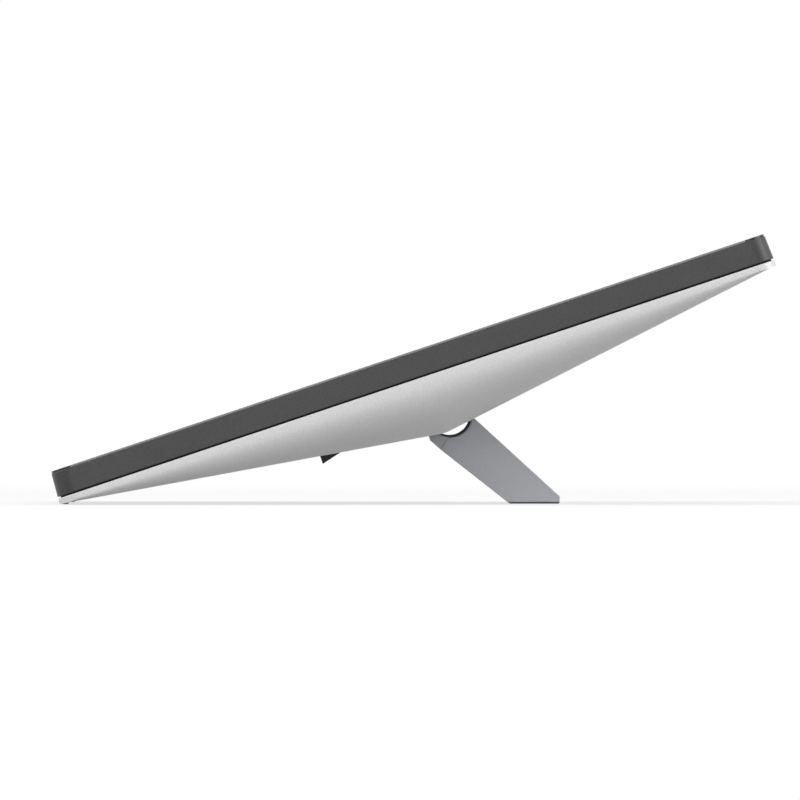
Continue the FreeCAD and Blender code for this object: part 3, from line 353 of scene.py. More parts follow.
BOARD = Finish("solder_mask", (0.012, 0.07, 0.03), 0.35, 0.0, Grain.TRACES, 2.2 * MM, 0.3, 0.02 * MM,
               coat=0.4, accent=(0.03, 0.16, 0.07))
CHIP = Finish("chip_package", (0.025, 0.025, 0.027), 0.45, 0.0, Grain.MOULDED, 0.15 * MM, 0.12, 0.004 * MM)
FILM = Finish("amber_film", (0.28, 0.12, 0.03), 0.3, 0.0, Grain.BRUSHED, 0.6 * MM, 0.12,
              0.004 * MM, coat=0.5)
FOAM = Finish("black_foam", (0.02, 0.02, 0.02), 0.95, 0.0, Grain.CELLS, 0.4 * MM, 0.3, 0.05 * MM)
MESH = Finish("black_mesh", (0.02, 0.02, 0.02), 0.55, 0.1, Grain.CELLS, 0.6 * MM, 0.6, 0.08 * MM)
LENS = Finish("camera_lens", (0.004, 0.005, 0.009), 0.06, 0.0, Grain.MOULDED, 0.5 * MM, 0.1,
              0.0005 * MM, coat=1.0)
GLASS = GlassFinish()


# ---- Working with meshes -------------------------------------------------------------------------
class Bench:
    """Modelling moves that every sub-assembly uses."""

    @staticmethod
    def clear() -> None:
        """Leave edit mode and deselect everything."""
        if bpy.context.object and bpy.context.object.mode != "OBJECT":
            bpy.ops.object.mode_set(mode="OBJECT")
        bpy.ops.object.select_all(action="DESELECT")

    @staticmethod
    def only(piece: bpy.types.Object) -> None:
        """Select one piece alone and make it active.

        Args:
            piece: the object to select.
        """
        Bench.clear()
        piece.select_set(True)
        bpy.context.view_layer.objects.active = piece

    @staticmethod
    def box(name: str, low: Point, high: Point) -> bpy.types.Object:
        """Add a box between two corners in millimetres, with its place in its mesh.

        Args:
            name: the object's name.
            low: the lowest corner.
            high: the highest corner.

        Returns:
            The new object, at the origin.
        """
        Bench.clear()
        centre = [(a + b) / 2 * MM for a, b in zip(low, high)]
        size = [(b - a) * MM for a, b in zip(low, high)]
        bpy.ops.mesh.primitive_cube_add(size=1.0, location=centre, scale=size)
        piece = bpy.context.object
        piece.name = name
        piece.data.name = name
        bpy.ops.object.transform_apply(location=True, rotation=True, scale=True)
        return piece

    @staticmethod
    def rod(name: str, radius: float, low: Point, high: Point, sides: int = 32) -> bpy.types.Object:
        """Add a cylinder between two points in millimetres.

        Args:
            name: the object's name.
            radius: its radius in millimetres.
            low: the middle of one end.
            high: the middle of the other.
            sides: how many sides it has.

        Returns:
            The new object, at the origin.
        """
        Bench.clear()
        start, end = Vector(low) * MM, Vector(high) * MM
        run = end - start
        bpy.ops.mesh.primitive_cylinder_add(vertices=sides, radius=radius * MM, depth=run.length,
                                            location=(0, 0, 0))
        piece = bpy.context.object
        piece.name = name
        piece.data.name = name
        turn = run.to_track_quat("Z", "Y").to_matrix().to_4x4()
        piece.data.transform(Matrix.Translation((start + end) / 2) @ turn)
        return piece

    @staticmethod
    def select_edges(piece: bpy.types.Object, wanted: EdgeTest) -> int:
        """Select, in edit mode, the edges whose two ends pass a test.

        Args:
            piece: the mesh in edit mode.
            wanted: a test of the edge's two end points.

        Returns:
            How many edges were selected.
        """
        bpy.ops.mesh.select_mode(type="EDGE")
        bpy.ops.mesh.select_all(action="DESELECT")
        mesh = bmesh.from_edit_mesh(piece.data)
        chosen = [edge for edge in mesh.edges if wanted(edge.verts[0].co, edge.verts[1].co)]
        for edge in chosen:
            edge.select = True
        mesh.select_flush_mode()
        bmesh.update_edit_mesh(piece.data)
        return len(chosen)

    @staticmethod
    def bevel_edges(piece: bpy.types.Object, wanted: EdgeTest, width: float,
                    segments: int = 3) -> None:
        """Round the edges that pass a test.

        Args:
            piece: the object to shape.
            wanted: a test of an edge's two end points.
            width: the bevel's width in millimetres.
            segments: how many steps it takes.
        """
        Bench.only(piece)
        bpy.ops.object.mode_set(mode="EDIT")
        if Bench.select_edges(piece, wanted):
            bpy.ops.mesh.bevel(offset=width * MM, offset_type="OFFSET", segments=segments, profile=0.5,
                               clamp_overlap=True)
        bpy.ops.object.mode_set(mode="OBJECT")

    @staticmethod
    def boolean(piece: bpy.types.Object, tool: bpy.types.Object, operation: str) -> None:
        """Cut or trim a piece with a tool, and remove the tool.

        Args:
            piece: the object that stays.
            tool: the object that is used up.
            operation: DIFFERENCE, INTERSECT or UNION.
        """
        Bench.only(piece)
        modifier = piece.modifiers.new("cut", "BOOLEAN")
        modifier.operation = operation
        modifier.solver = "EXACT"
        modifier.object = tool
        bpy.ops.object.modifier_apply(modifier=modifier.name)
        bpy.data.objects.remove(tool, do_unlink=True)

    @staticmethod
    def join(name: str, parts: list[bpy.types.Object]) -> bpy.types.Object:
        """Join several objects into one.

        Args:
            name: the joined object's name.
            parts: the objects; the first stays.

        Returns:
            The joined object.
        """
        Bench.clear()
        for part in parts:
            part.select_set(True)
        bpy.context.view_layer.objects.active = parts[0]
        if len(parts) > 1:
            bpy.ops.object.join()
        parts[0].name = name
        parts[0].data.name = name
        return parts[0]

    @staticmethod
    def round_edges(piece: bpy.types.Object, width: float, segments: int = 2, angle: float = 35.0) -> None:
        """Take the sharpness off every edge that turns more than an angle.

        Args:
            piece: the object to shape.
            width: the bevel's width in millimetres.
            segments: how many steps it takes.
            angle: the least turn, in degrees.
        """
        Bench.only(piece)
        modifier = piece.modifiers.new("edges", "BEVEL")
        modifier.width = width * MM
        modifier.segments = segments
        modifier.limit_method = "ANGLE"
        modifier.angle_limit = math.radians(angle)
        bpy.ops.object.modifier_apply(modifier=modifier.name)

    @staticmethod
    def smooth(piece: bpy.types.Object, angle: float = 32.0) -> None:
        """Shade a piece smooth up to an angle, with its flat faces kept flat.

        Args:
            piece: the object to shade.
            angle: the most that two faces may turn and still be smooth, in degrees.
        """
        Bench.only(piece)
        bpy.ops.object.shade_smooth_by_angle(angle=math.radians(angle))
        bpy.ops.object.modifier_add(type="WEIGHTED_NORMAL")
        modifier = piece.modifiers[-1]
        modifier.keep_sharp = True
        bpy.ops.object.modifier_apply(modifier=modifier.name)

    @staticmethod
    def lay_back(piece: bpy.types.Object) -> None:
        """Move a flat-built piece to its place in the row frame."""
        piece.data.transform(SPACE)
        piece.data.update()

    @staticmethod
    def finish(piece: bpy.types.Object, look: Look, slot: str, body: str,
               *nodes: str) -> bpy.types.Object:
        """Give a finished piece its material, its body and the CAD nodes that it stands for.

        Args:
            piece: the finished object.
            look: the finish.
            slot: the record's material slot; not used.
            body: the CAD body that it rides on.
            nodes: the CAD nodes that it replaces.

        Returns:
            The same object.
        """
        piece.data.materials.clear()
        piece.data.materials.append(look.make())
        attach(piece, body)
        if nodes:
            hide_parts(*nodes)
        log.info("%s: %d faces", piece.name, len(piece.data.polygons))
        return piece


def dressed(node: str, look: Look, slot: str, body: str = SCREEN_BODY, bevel: float = 0.25,
            segments: int = 2) -> bpy.types.Object:
    """Make a finished copy of a CAD node: merged, with its edges rounded and shaded smooth.

    Args:
        node: the CAD node.
        look: its finish.
        slot: the record's material slot.
        body: the body that it rides on.
        bevel: the edge rounding in millimetres.
        segments: the steps of the rounding.

    Returns:
        The new piece, which replaces the node.
    """
    Bench.clear()
    source = frame["nodes"][node]
    piece = source.copy()
    piece.data = source.data.copy()
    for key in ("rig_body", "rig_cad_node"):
        if key in piece:
            del piece[key]
    piece.parent = None
    piece.name = f"{node}_finished"
    piece.data.name = piece.name
    bpy.context.scene.collection.objects.link(piece)
    Bench.only(piece)
    bpy.ops.object.mode_set(mode="EDIT")
    bpy.ops.mesh.select_all(action="SELECT")
    bpy.ops.mesh.remove_doubles(threshold=MERGE_REACH)
    bpy.ops.mesh.dissolve_limited(angle_limit=math.radians(FLAT_ANGLE))
    bpy.ops.object.mode_set(mode="OBJECT")
    if bevel:
        Bench.round_edges(piece, bevel, segments)
    Bench.smooth(piece)
    return Bench.finish(piece, look, slot, body, node)


# ---- Rear shell ----------------------------------------------------------------------------------
@dataclass
class RearShell:
    """The silver back: a shallow roof with a ridge, rounded shoulders and a lip. Millimetres."""

    half_width: float = 265.0
    height: float = 346.0
    corner: float = 9.0
    front: float = 12.8
    lip: float = 15.3
    wall: float = 2.2
    ridge: float = 177.8
    ridge_depth: float = 40.4
    blend: float = 2.5
    shoulder: float = 55.0
    end_shoulder: float = 6.0
    shoulder_growth: float = 1.7
    fullness: float = 0.75
    bay_half: float = 122.6
    bay: tuple[float, float] = (168.8, 251.3)
    tray_half: float = 81.6
    tray: tuple[float, float] = (82.4, 129.6)
    slot_x: float = 168.0
    slot_rows: tuple[tuple[float, float], ...] = ((262.0, 26.0), (34.0, 12.0))
    slots: int = 14
    slot_pitch: float = 5.0
    bosses: tuple[tuple[float, float], ...] = ((-200.0, 75.0), (200.0, 75.0), (-200.0, 305.0),
                                               (200.0, 305.0), (0.0, 50.0), (0.0, 290.0))
    shoulder_steps: int = 26
    flat_columns: int = 12
    slope_rows: int = 8
    ridge_rows: int = 20
    overhang: float = 3.0
    least_rise: float = 0.1
    plan_reach: float = 10.0
    core_reach: float = 2.0
    cut_reach: float = 6.0
    bore: float = 3.3
    bore_reach: float = 4.0
    edge_margin: float = 0.4
    corner_margin: float = 0.05
    rim_round: float = 0.7
    slot_half: float = 1.2
    slot_round: float = 1.15
    slot_front: float = 8.0
    smooth_angle: float = 28.0

    def depth(self, y: float) -> float:
        """Work out the depth of the flat middle at a height up the screen.

        Args:
            y: the height.

        Returns:
            The depth behind the glass.
        """
        low = (self.ridge_depth - self.lip) / self.ridge
        high = (self.ridge_depth - self.lip) / (self.height - self.ridge)
        away = min(max(y, 0.0), self.height) - self.ridge
        if abs(away) < self.blend:
            reach = self.blend + away
            return self.ridge_depth - low * self.blend + low * reach - (low + high) * reach ** 2 / (
                4 * self.blend)
        return self.ridge_depth - (low if away < 0 else high) * abs(away)

    def _columns(self) -> list[tuple[float, float]]:
        """Where the grid's columns stand, as shares.

        Returns:
            Pairs: the place across the flat middle, from -1 to 1, and the turn down the shoulder.
        """
        turns = [index / self.shoulder_steps * math.pi / 2 for index in range(self.shoulder_steps + 1)]
        side = [(1.0, turn) for turn in turns]
        count = self.flat_columns
        middle = [(-1.0 + 2 * index / count, 0.0) for index in range(1, count)]
        return [(-1.0, turn) for turn in reversed(turns)] + middle + side

    def _rows(self) -> list[float]:
        """Where the grid's rows stand: close together round the ridge.

        Returns:
            The rows' heights up the screen, a little past both ends.
        """
        end, start = self.ridge - self.blend, self.ridge + self.blend
        count, fine = self.slope_rows, self.ridge_rows
        low = [end - end * share / count for share in range(count, 0, -1)]
        middle = [end + self.blend * 2 * index / fine for index in range(fine + 1)]
        high = [start + (self.height - start) * share / count for share in range(1, count + 1)]
        return [-self.overhang, *low, *middle, *high, self.height + self.overhang]

    def body(self, name: str, inward: float, front: float) -> bpy.types.Object:
        """Shape the roof as a closed solid from a grid.

        Args:
            name: the object's name.
            inward: how far the surface is moved in.
            front: the depth of the solid's open side.

        Returns:
            The solid, in screen space.
        """
        columns, rows = self._columns(), self._rows()
        Bench.clear()
        bpy.ops.mesh.primitive_grid_add(x_subdivisions=len(columns) - 1, y_subdivisions=len(rows) - 1,
                                        size=2.0)
        piece = bpy.context.object
        piece.name = name
        lip = self.lip - inward
        for vertex in piece.data.vertices:
            column = round((vertex.co.x + 1) / 2 * (len(columns) - 1))
            row = round((vertex.co.y + 1) / 2 * (len(rows) - 1))
            place, turn = columns[column]
            y = rows[row]
            rise = max(self.depth(y) - self.lip, 0.0) + self.least_rise
            full = rise / (self.ridge_depth - self.lip)
            shoulder = self.end_shoulder + (self.shoulder - self.end_shoulder) * full ** self.shoulder_growth
            flat = self.half_width - shoulder
            x = place * (flat + (shoulder - inward) * math.sin(turn))
            vertex.co = Vector((x, y, -(lip + rise * max(math.cos(turn), 0.0) ** self.fullness))) * MM
        bpy.ops.object.mode_set(mode="EDIT")
        bpy.ops.mesh.select_mode(type="EDGE")
        bpy.ops.mesh.select_all(action="DESELECT")
        bpy.ops.mesh.select_non_manifold()
        bpy.ops.mesh.extrude_region_move(TRANSFORM_OT_translate={"value": (0, 0, lip * MM / 2)})
        mesh = bmesh.from_edit_mesh(piece.data)
        for vertex in mesh.verts:
            if vertex.select:
                vertex.co.z = -front * MM
        bmesh.update_edit_mesh(piece.data)
        bpy.ops.mesh.edge_face_add()
        bpy.ops.mesh.select_all(action="SELECT")
        bpy.ops.mesh.normals_make_consistent(inside=False)
        bpy.ops.object.mode_set(mode="OBJECT")
        return piece

    def build(self) -> None:
        """Make the shell: trim it to its plan, hollow it, open it and dress it."""
        shell = self.body("rear_shell_finished", 0.0, self.front)
        behind = self.ridge_depth + self.plan_reach
        plan = slab("plan", self.half_width, 0.0, self.height, 0.0, behind, self.corner)
        Bench.boolean(shell, plan, "INTERSECT")
        core = self.body("core", self.wall, self.front - self.core_reach)
        core_plan = slab("core_plan", self.half_width - self.wall, self.wall, self.height - self.wall,
                         0.0, behind, self.corner - self.wall)
        Bench.boolean(core, core_plan, "INTERSECT")
        Bench.boolean(shell, core, "DIFFERENCE")
        deep = -(self.ridge_depth + self.cut_reach)
        for name, half, (low, high) in (("bay_cut", self.bay_half, self.bay),
                                        ("tray_cut", self.tray_half, self.tray)):
            Bench.boolean(shell, Bench.box(name, (-half, low, deep), (half, high, 0)), "DIFFERENCE")
        Bench.boolean(shell, self._slot_tools(deep), "DIFFERENCE")
        for index, (x, y) in enumerate(self.bosses):
            floor = -self.depth(y) + self.bore_reach
            tool = Bench.rod(f"bore{index}", self.bore, (x, y, deep), (x, y, floor))
            Bench.boolean(shell, tool, "DIFFERENCE")
        Bench.bevel_edges(shell, self._on_rim, self.rim_round)
        Bench.smooth(shell, self.smooth_angle)
        Bench.lay_back(shell)
        Bench.finish(shell, SILVER, "silver_shell", SCREEN_BODY, "rear_shell")

    def _on_rim(self, start: Vector, end: Vector) -> bool:
        """Tell whether an edge runs round the outside of the open front.

        Args:
            start: one end of the edge.
            end: its other end.

        Returns:
            True where it does.
        """
        rim = -self.front * MM
        margin = self.edge_margin * MM
        if abs(start.z - rim) >= LEVEL or abs(end.z - rim) >= LEVEL:
            return False
        at_side = max(abs(start.x), abs(end.x)) > (self.half_width - self.edge_margin) * MM
        at_top = max(start.y, end.y) > (self.height - self.edge_margin) * MM
        return at_side or min(start.y, end.y) < margin or at_top or self._round_corner(start)

    def _round_corner(self, point: Vector) -> bool:
        """Tell whether a point lies on one of the plan's four round corners.

        Args:
            point: the point, in metres.

        Returns:
            True where it does.
        """
        across = abs(point.x) / MM - (self.half_width - self.corner)
        middle = self.height / 2
        along = abs(point.y / MM - middle) - (middle - self.corner)
        off = abs(math.hypot(across, along) - self.corner)
        return across > 0 and along > 0 and off < self.corner_margin

    def _slot_tools(self, deep: float) -> bpy.types.Object:
        """Make the cutter for the vent and speaker slots, with round ends.

        Args:
            deep: the Z that the cutters start from.

        Returns:
            All the slots as one object.
        """
        tools = []
        for low, length in self.slot_rows:
            for side in (-1, 1):
                for index in range(self.slots):
                    x = side * self.slot_x + (index - (self.slots - 1) / 2) * self.slot_pitch
                    tool = Bench.box("slot", (x - self.slot_half, low, deep),
                                     (x + self.slot_half, low + length, -self.slot_front))
                    Bench.bevel_edges(tool, lambda a, b: abs(a.z - b.z) > LONG_EDGE,
                                      self.slot_round, SLOT_STEPS)
                    tools.append(tool)
        return Bench.join("slots", tools)


def slab(name: str, half_width: float, low: float, high: float, front: float, back: float,
         radius: float, segments: int = 10) -> bpy.types.Object:
    """Make a flat slab with round corners, in screen space and millimetres.

    Args:
        name: the object's name.
        half_width: half its width.
        low: its lower end up the screen.
        high: its upper end.
        front: the depth of its front.
        back: the depth of its back.
        radius: the radius of its corners in plan.
        segments: the steps of each corner.

    Returns:
        The slab.
    """
    piece = Bench.box(name, (-half_width, low, -back), (half_width, high, -front))
    Bench.bevel_edges(piece, lambda a, b: abs(a.z - b.z) > abs(a.x - b.x) + abs(a.y - b.y), radius, segments)
    return piece


# ---- Screen --------------------------------------------------------------------------------------
@dataclass
class Screen:
    """The glass, the dark band round it and the black line behind it. Millimetres."""

    half_width: float = 265.0
    height: float = 346.0
    corner: float = 9.0
    glass: float = 0.9
    band: float = 12.1
    front_inset: float = 0.7
    back_inset: float = 0.05
    wall: float = 3.2
    # how far from each corner the glass edge is painted black, as painted shade
    painted_shade_corner: float = 10.0
    window: tuple[float, float] = (246.6, 142.35)
    keys: tuple[float, ...] = (292.0, 262.0, 242.0)
    key_size: tuple[float, float] = (14.3, 4.3)
    key_depth: float = 7.25
    key_overhang: float = 2.0
    key_reach: float = 8.0
    key_round: float = 1.2
    glass_step: float = 0.3
    glass_corner_step: float = 1.0
    glass_round: float = 0.12
    glass_round_angle: float = 60.0
    edge_reach: float = 0.25
    edge_wall: float = 0.24
    edge_front: float = 0.06
    band_step: float = 0.05
    band_corner_steps: int = 14
    band_round: float = 0.45
    band_round_steps: int = 3
    band_round_angle: float = 50.0
    band_smooth_angle: float = 35.0
    draft_reach: float = 0.1
    cut_margin: float = 1.0
    cut_front: float = 5.0
    cut_back: float = 20.0
    camera_round: float = 0.2
    lens_round: float = 0.15

    def build_glass(self) -> None:
        """Make the cover glass and its ground edge, with the edge's corners painted black as painted shade.
        """
        inset = self.front_inset + self.glass_step
        sheet = slab("cover_glass_finished", self.half_width - inset - self.edge_reach,
                     inset + self.edge_reach, self.height - inset - self.edge_reach, 0.0, self.glass,
                     self.corner - self.glass_corner_step - self.edge_reach)
        Bench.round_edges(sheet, self.glass_round, angle=self.glass_round_angle)
        Bench.smooth(sheet)
        Bench.lay_back(sheet)
        Bench.finish(sheet, GLASS, "glass", SCREEN_BODY, "cover_glass")
        self._edge_ring("glass_ground_edge", "DIFFERENCE", GLASS_EDGE)
        # The edge's corners are painted black: painted shade where the turning edge reflects dark.
        self._edge_ring("glass_corner_painted_shade", "INTERSECT", PRINT_AND_CORNER_SHADE)

    def _edge_ring(self, name: str, action: str, look: Look) -> None:
        """Make the glass's ground edge along the sides, or the black painted shade round its corners.

        Args:
            name: the piece's name.
            action: DIFFERENCE for the sides, INTERSECT for the corners.
            look: its finish; for the corners, black print as painted shade.
        """
        inset = self.front_inset + self.glass_step
        corner = self.corner - self.glass_corner_step
        edge = slab(name, self.half_width - inset, inset, self.height - inset, self.edge_front,
                    self.glass, corner)
        hole = slab("edge_hole", self.half_width - inset - self.edge_wall, inset + self.edge_wall,
                    self.height - inset - self.edge_wall, -self.cut_margin,
                    self.glass + self.cut_margin, corner - self.edge_wall)
        Bench.boolean(edge, hole, "DIFFERENCE")
        corners = []
        for x in (-self.half_width, self.half_width):
            for y in (0.0, self.height):
                low = (x - self.painted_shade_corner, y - self.painted_shade_corner, -self.cut_front)
                high = (x + self.painted_shade_corner, y + self.painted_shade_corner, self.cut_front)
                corners.append(Bench.box("corner", low, high))
        Bench.boolean(edge, Bench.join("corners", corners), action)
        Bench.smooth(edge)
        Bench.lay_back(edge)
        Bench.finish(edge, look, "glass", SCREEN_BODY)

    def build_band(self) -> None:
        """Make the dark band: drafted outside, open behind, with three key slots on the left."""
        front = self.glass + self.band_step
        wide = self.half_width - self.back_inset
        band = slab("front_frame_finished", wide, self.back_inset, self.height - self.back_inset, front,
                    self.band, self.corner, self.band_corner_steps)
        middle = self.height / 2
        draft = self.front_inset - self.back_inset
        for vertex in band.data.vertices:
            if vertex.co.z > -(front + self.draft_reach) * MM:
                vertex.co.x *= (wide - draft) / wide
                reach = middle - self.back_inset
                vertex.co.y = middle * MM + (vertex.co.y - middle * MM) * (reach - draft) / reach
        window_x, window_y = self.window
        Bench.boolean(band, Bench.box("window", (-window_x, middle - window_y, -self.cut_back),
                                      (window_x, middle + window_y, self.cut_front)), "DIFFERENCE")
        inset = self.front_inset + self.wall
        hollow = slab("hollow", self.half_width - inset, inset, self.height - inset, front + self.wall,
                      self.cut_back, self.corner - self.wall)
        Bench.boolean(band, hollow, "DIFFERENCE")
        long, tall = self.key_size
        for y in self.keys:
            outer, inner = -self.half_width - self.key_overhang, -self.half_width + self.key_reach
            slot = Bench.box("key_slot", (outer, y - long / 2, -self.key_depth - tall / 2),
                             (inner, y + long / 2, -self.key_depth + tall / 2))
            Bench.bevel_edges(slot, lambda a, b: abs(a.x - b.x) > LONG_EDGE, self.key_round, SLOT_STEPS)
            Bench.boolean(band, slot, "DIFFERENCE")
        Bench.round_edges(band, self.band_round, self.band_round_steps, self.band_round_angle)
        Bench.smooth(band, self.band_smooth_angle)
        Bench.lay_back(band)
        Bench.finish(band, BAND, "dark_band", SCREEN_BODY, "front_frame")

    def dress_nodes(self) -> None:
        """Dress the flat CAD nodes that stay as they are."""
        # The shadow gap ring's near-black is partly its own colour and partly painted shade for the gap.
        for node, look in (("bezel_mask", PRINT_AND_CORNER_SHADE), ("lcd_panel", DISPLAY), ("panel_gasket", FOAM),
                           ("chassis_plate", STEEL), ("shadow_gap_ring", GAP_SEAL_AND_SHADE)):
            dress_node(node, look)
        dressed("webcam_lens", LENS, "lens", bevel=self.lens_round)
        dressed("webcam_module", BLACK_PLASTIC, "black_plastic", bevel=self.camera_round)


def dress_node(node: str, look: Look) -> None:
    """Give a CAD node that stays its finish.

    Args:
        node: the node's name.
        look: the finish.
    """
    data = frame["nodes"][node].data
    data.materials.clear()
    data.materials.append(look.make())
    log.info("%s: kept as it is, %d faces", node, len(data.polygons))


# ---- Leg -----------------------------------------------------------------------------------------
@dataclass
class Leg:
    """The hinged leg: rail, core, skin, liner and foot, with their edge rounding in millimetres."""

    metal_round: float = 0.35
    sheet_round: float = 0.3
    liner_round: float = 0.15
    foot_round: float = 0.25

    def build(self) -> None:
        """Dress the leg's parts with rounded edges."""
        dressed("leg_core", LEG_METAL, "leg_metal", LEG_BODY, self.metal_round)
        dressed("leg_skin", LEG_METAL, "leg_metal", LEG_BODY, self.sheet_round)
        dressed("hinge_rail", RAIL, "rail_grey", LEG_BODY, self.metal_round)
        dressed("arc_liner", LINER, "liner_black", LEG_BODY, self.liner_round)
        dressed("leg_foot", FOOT_RUBBER, "rubber", LEG_BODY, self.foot_round)


# ---- Fittings ------------------------------------------------------------------------------------
@dataclass
class Fittings:
    """Sockets, hinge metal, boards and the rest of what the shells hold, with their edge rounding."""

    rotor_round: float = 0.15
    key_round: float = 0.3
    plain: dict[str, tuple[Finish, str, float]] = field(default_factory=lambda: {
        "leg_bay": (BLACK_PLASTIC, "black_plastic", 0.3),
        "io_bay": (BLACK_PLASTIC, "black_plastic", 0.3),
        "usb_ports": (PLATED, "port_steel", 0.12),
        "video_port": (PLATED, "port_steel", 0.12),
        "ethernet_port": (PLATED, "port_steel", 0.15),
        "audio_jack": (BLACK_PLASTIC, "black_plastic", 0.15),
        "dc_inlet": (BLACK_PLASTIC, "black_plastic", 0.15),
        "io_board": (BOARD, "circuit_board", 0.1),
        "shell_screws": (SCREW, "screw_steel", 0.25),
        "vent_meshes": (MESH, "mesh_black", 0.0),
        "main_board": (BOARD, "circuit_board", 0.1),
        "board_standoffs": (BRASS, "brass", 0.1),
        "processor": (CHIP, "chip", 0.15),
        "heat_spreader": (COPPER, "copper", 0.2),
        "memory_modules": (BOARD, "circuit_board", 0.1),
        "wifi_card": (BOARD, "circuit_board", 0.1),
        "storage_drive": (STEEL, "steel", 0.4),
        "speaker_left": (BLACK_PLASTIC, "black_plastic", 0.4),
        "speaker_right": (BLACK_PLASTIC, "black_plastic", 0.4),
        "display_cable": (FILM, "cable_film", 0.0),
        "fan_housing": (BLACK_PLASTIC, "black_plastic", 0.25),
        "heat_sink": (FINS, "fin_aluminium", 0.0),
        "heat_pipe": (COPPER, "copper", 0.5),
        "switch_board": (BOARD, "circuit_board", 0.1),
        "hinge_bracket_left": (STEEL, "steel", 0.2),
        "hinge_bracket_right": (STEEL, "steel", 0.2),
        "hinge_pin_left": (SCREW, "screw_steel", 0.2),
        "hinge_pin_right": (SCREW, "screw_steel", 0.2),
        "friction_washers": (SCREW, "screw_steel", 0.0),
        "leg_rest_pads": (RUBBER, "rubber", 0.2),
        "edge_feet": (PALE_RUBBER, "rubber", 0.12),
    })

    def build(self) -> None:
        """Dress every fitting, and the pieces that move."""
        for node, (look, slot, bevel) in self.plain.items():
            dressed(node, look, slot, bevel=bevel)
        dressed("fan_rotor", BLACK_PLASTIC, "black_plastic", "fan", self.rotor_round)
        for node, body in (("power_button", "power_key"), ("volume_up_key", "volume_up"),
                           ("volume_down_key", "volume_down")):
            dressed(node, BAND, "dark_band", body, self.key_round)


# ---- Studio --------------------------------------------------------------------------------------
def white_rays(tree: bpy.types.NodeTree) -> bpy.types.NodeSocket:
    """Tell the rays that should find plain white: from the camera, from gloss and through glass.

    Args:
        tree: the node tree to add to.

    Returns:
        1 for those rays and 0 for the rest.
    """
    path = tree.nodes.new("ShaderNodeLightPath")
    value = path.outputs["Is Camera Ray"]
    for kind in ("Is Glossy Ray", "Is Transmission Ray"):
        either = tree.nodes.new("ShaderNodeMath")
        either.operation = "MAXIMUM"
        tree.links.new(value, either.inputs[0])
        tree.links.new(path.outputs[kind], either.inputs[1])
        value = either.outputs["Value"]
    return value


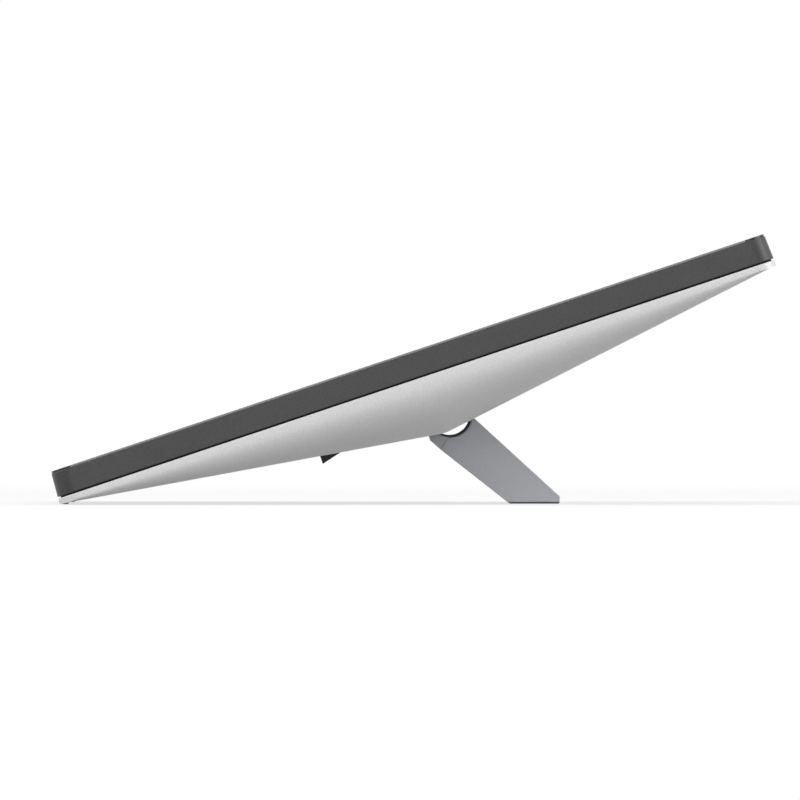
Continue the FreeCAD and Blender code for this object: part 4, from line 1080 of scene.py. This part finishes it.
@dataclass
class Studio:
    """The floor, the soft lights and the camera."""

    view_width: float = 366.4 * MM
    look_at: tuple[float, float] = (-6.4 * MM, 47.9 * MM)
    near_side: float = 265 * MM
    lens: float = 1500.0
    sensor: float = 36.0
    ambient: float = 0.3
    floor_size: float = 6.0
    shadow_share: float = 0.3
    bounce: float = 0.36
    floor_drop: float = 0.2 * MM
    floor_white: float = 0.9
    floor_roughness: float = 0.9
    floor_specular: float = 0.1
    sight: float = 100.0
    aim: Point = (0.0, 0.0, 0.05)
    lamps: tuple[tuple[str, Point, float, float], ...] = (
        ("side_panel", (3.7, 0.0, 0.7), 2.4, 34.0),
        ("top_panel", (1.9, 0.0, 3.2), 2.4, 26.0),
        ("near_panel", (0.7, -3.0, 1.6), 2.0, 60.0),
        ("far_panel", (0.7, 3.0, 1.6), 2.0, 60.0),
        ("left_panel", (-3.4, 0.0, 1.8), 3.0, 40.0),
    )

    def build(self) -> None:
        """Set up the whole studio."""
        self._world()
        self._floor()
        for name, place, size, power in self.lamps:
            self._lamp(name, place, size, power)
        self._camera()
        bpy.context.scene.view_settings.view_transform = "Standard"

    def _world(self) -> None:
        """White where the camera and reflections look, and a soft level of light elsewhere."""
        world = bpy.data.worlds.new("studio")
        bpy.context.scene.world = world
        world.use_nodes = True
        nodes, links = world.node_tree.nodes, world.node_tree.links
        background = nodes["Background"]
        background.inputs["Color"].default_value = (1.0, 1.0, 1.0, 1.0)
        level = nodes.new("ShaderNodeMapRange")
        level.inputs["To Min"].default_value = self.ambient
        level.inputs["To Max"].default_value = 1.0
        links.new(white_rays(world.node_tree), level.inputs["Value"])
        links.new(level.outputs["Result"], background.inputs["Strength"])

    def _floor(self) -> None:
        """A pale floor that keeps a light shadow, and that is clear from below."""
        Bench.clear()
        bpy.ops.mesh.primitive_plane_add(size=self.floor_size, location=(0, 0, -self.floor_drop))
        floor = bpy.context.object
        floor.name = "floor"
        material = bpy.data.materials.new("pale_floor")
        material.use_nodes = True
        nodes, links = material.node_tree.nodes, material.node_tree.links
        shader = nodes["Principled BSDF"]
        albedo = nodes.new("ShaderNodeMapRange")
        albedo.inputs["To Min"].default_value = self.bounce
        albedo.inputs["To Max"].default_value = self.floor_white
        rays = white_rays(material.node_tree)
        links.new(rays, albedo.inputs["Value"])
        links.new(albedo.outputs["Result"], shader.inputs["Base Color"])
        shader.inputs["Roughness"].default_value = self.floor_roughness
        shader.inputs["Specular IOR Level"].default_value = self.floor_specular
        white = nodes.new("ShaderNodeEmission")
        share = nodes.new("ShaderNodeMath")
        share.operation = "MULTIPLY"
        share.inputs[1].default_value = 1.0 - self.shadow_share
        links.new(rays, share.inputs[0])
        lit = nodes.new("ShaderNodeMixShader")
        links.new(share.outputs["Value"], lit.inputs["Fac"])
        links.new(shader.outputs["BSDF"], lit.inputs[1])
        links.new(white.outputs["Emission"], lit.inputs[2])
        side = nodes.new("ShaderNodeNewGeometry")
        clear = nodes.new("ShaderNodeBsdfTransparent")
        both = nodes.new("ShaderNodeMixShader")
        links.new(side.outputs["Backfacing"], both.inputs["Fac"])
        links.new(lit.outputs["Shader"], both.inputs[1])
        links.new(clear.outputs["BSDF"], both.inputs[2])
        links.new(both.outputs["Shader"], nodes["Material Output"].inputs["Surface"])
        floor.data.materials.append(material)

    def _lamp(self, name: str, place: Point, size: float, power: float) -> None:
        """Add a soft area lamp that faces the object.

        Args:
            name: the lamp's name.
            place: where it stands, in metres.
            size: the side of its square.
            power: its power in watts.
        """
        data = bpy.data.lights.new(name, "AREA")
        data.shape = "SQUARE"
        data.size = size
        data.energy = power
        lamp = bpy.data.objects.new(name, data)
        bpy.context.scene.collection.objects.link(lamp)
        lamp.location = place
        aim = Vector(self.aim) - lamp.location
        lamp.rotation_mode = "QUATERNION"
        lamp.rotation_quaternion = aim.to_track_quat("-Z", "Y")

    def _camera(self) -> None:
        """Stand the camera square to the right side, far off, so that it sees almost no perspective."""
        data = bpy.data.cameras.new("camera")
        data.lens = self.lens
        data.sensor_width = self.sensor
        data.clip_end = self.sight
        away = self.view_width / (self.sensor / self.lens)
        camera = bpy.data.objects.new("camera", data)
        bpy.context.scene.collection.objects.link(camera)
        camera.location = (self.near_side + away, *self.look_at)
        camera.rotation_euler = (math.radians(90), 0, math.radians(90))
        bpy.context.scene.camera = camera


def main() -> None:
    """Build the classes in order."""
    logging.basicConfig(level=logging.INFO, format="%(name)s: %(message)s")
    Studio().build()
    screen = Screen()
    screen.build_glass()
    screen.build_band()
    screen.dress_nodes()
    RearShell().build()
    Leg().build()
    Fittings().build()


if __name__ == "__main__":
    main()
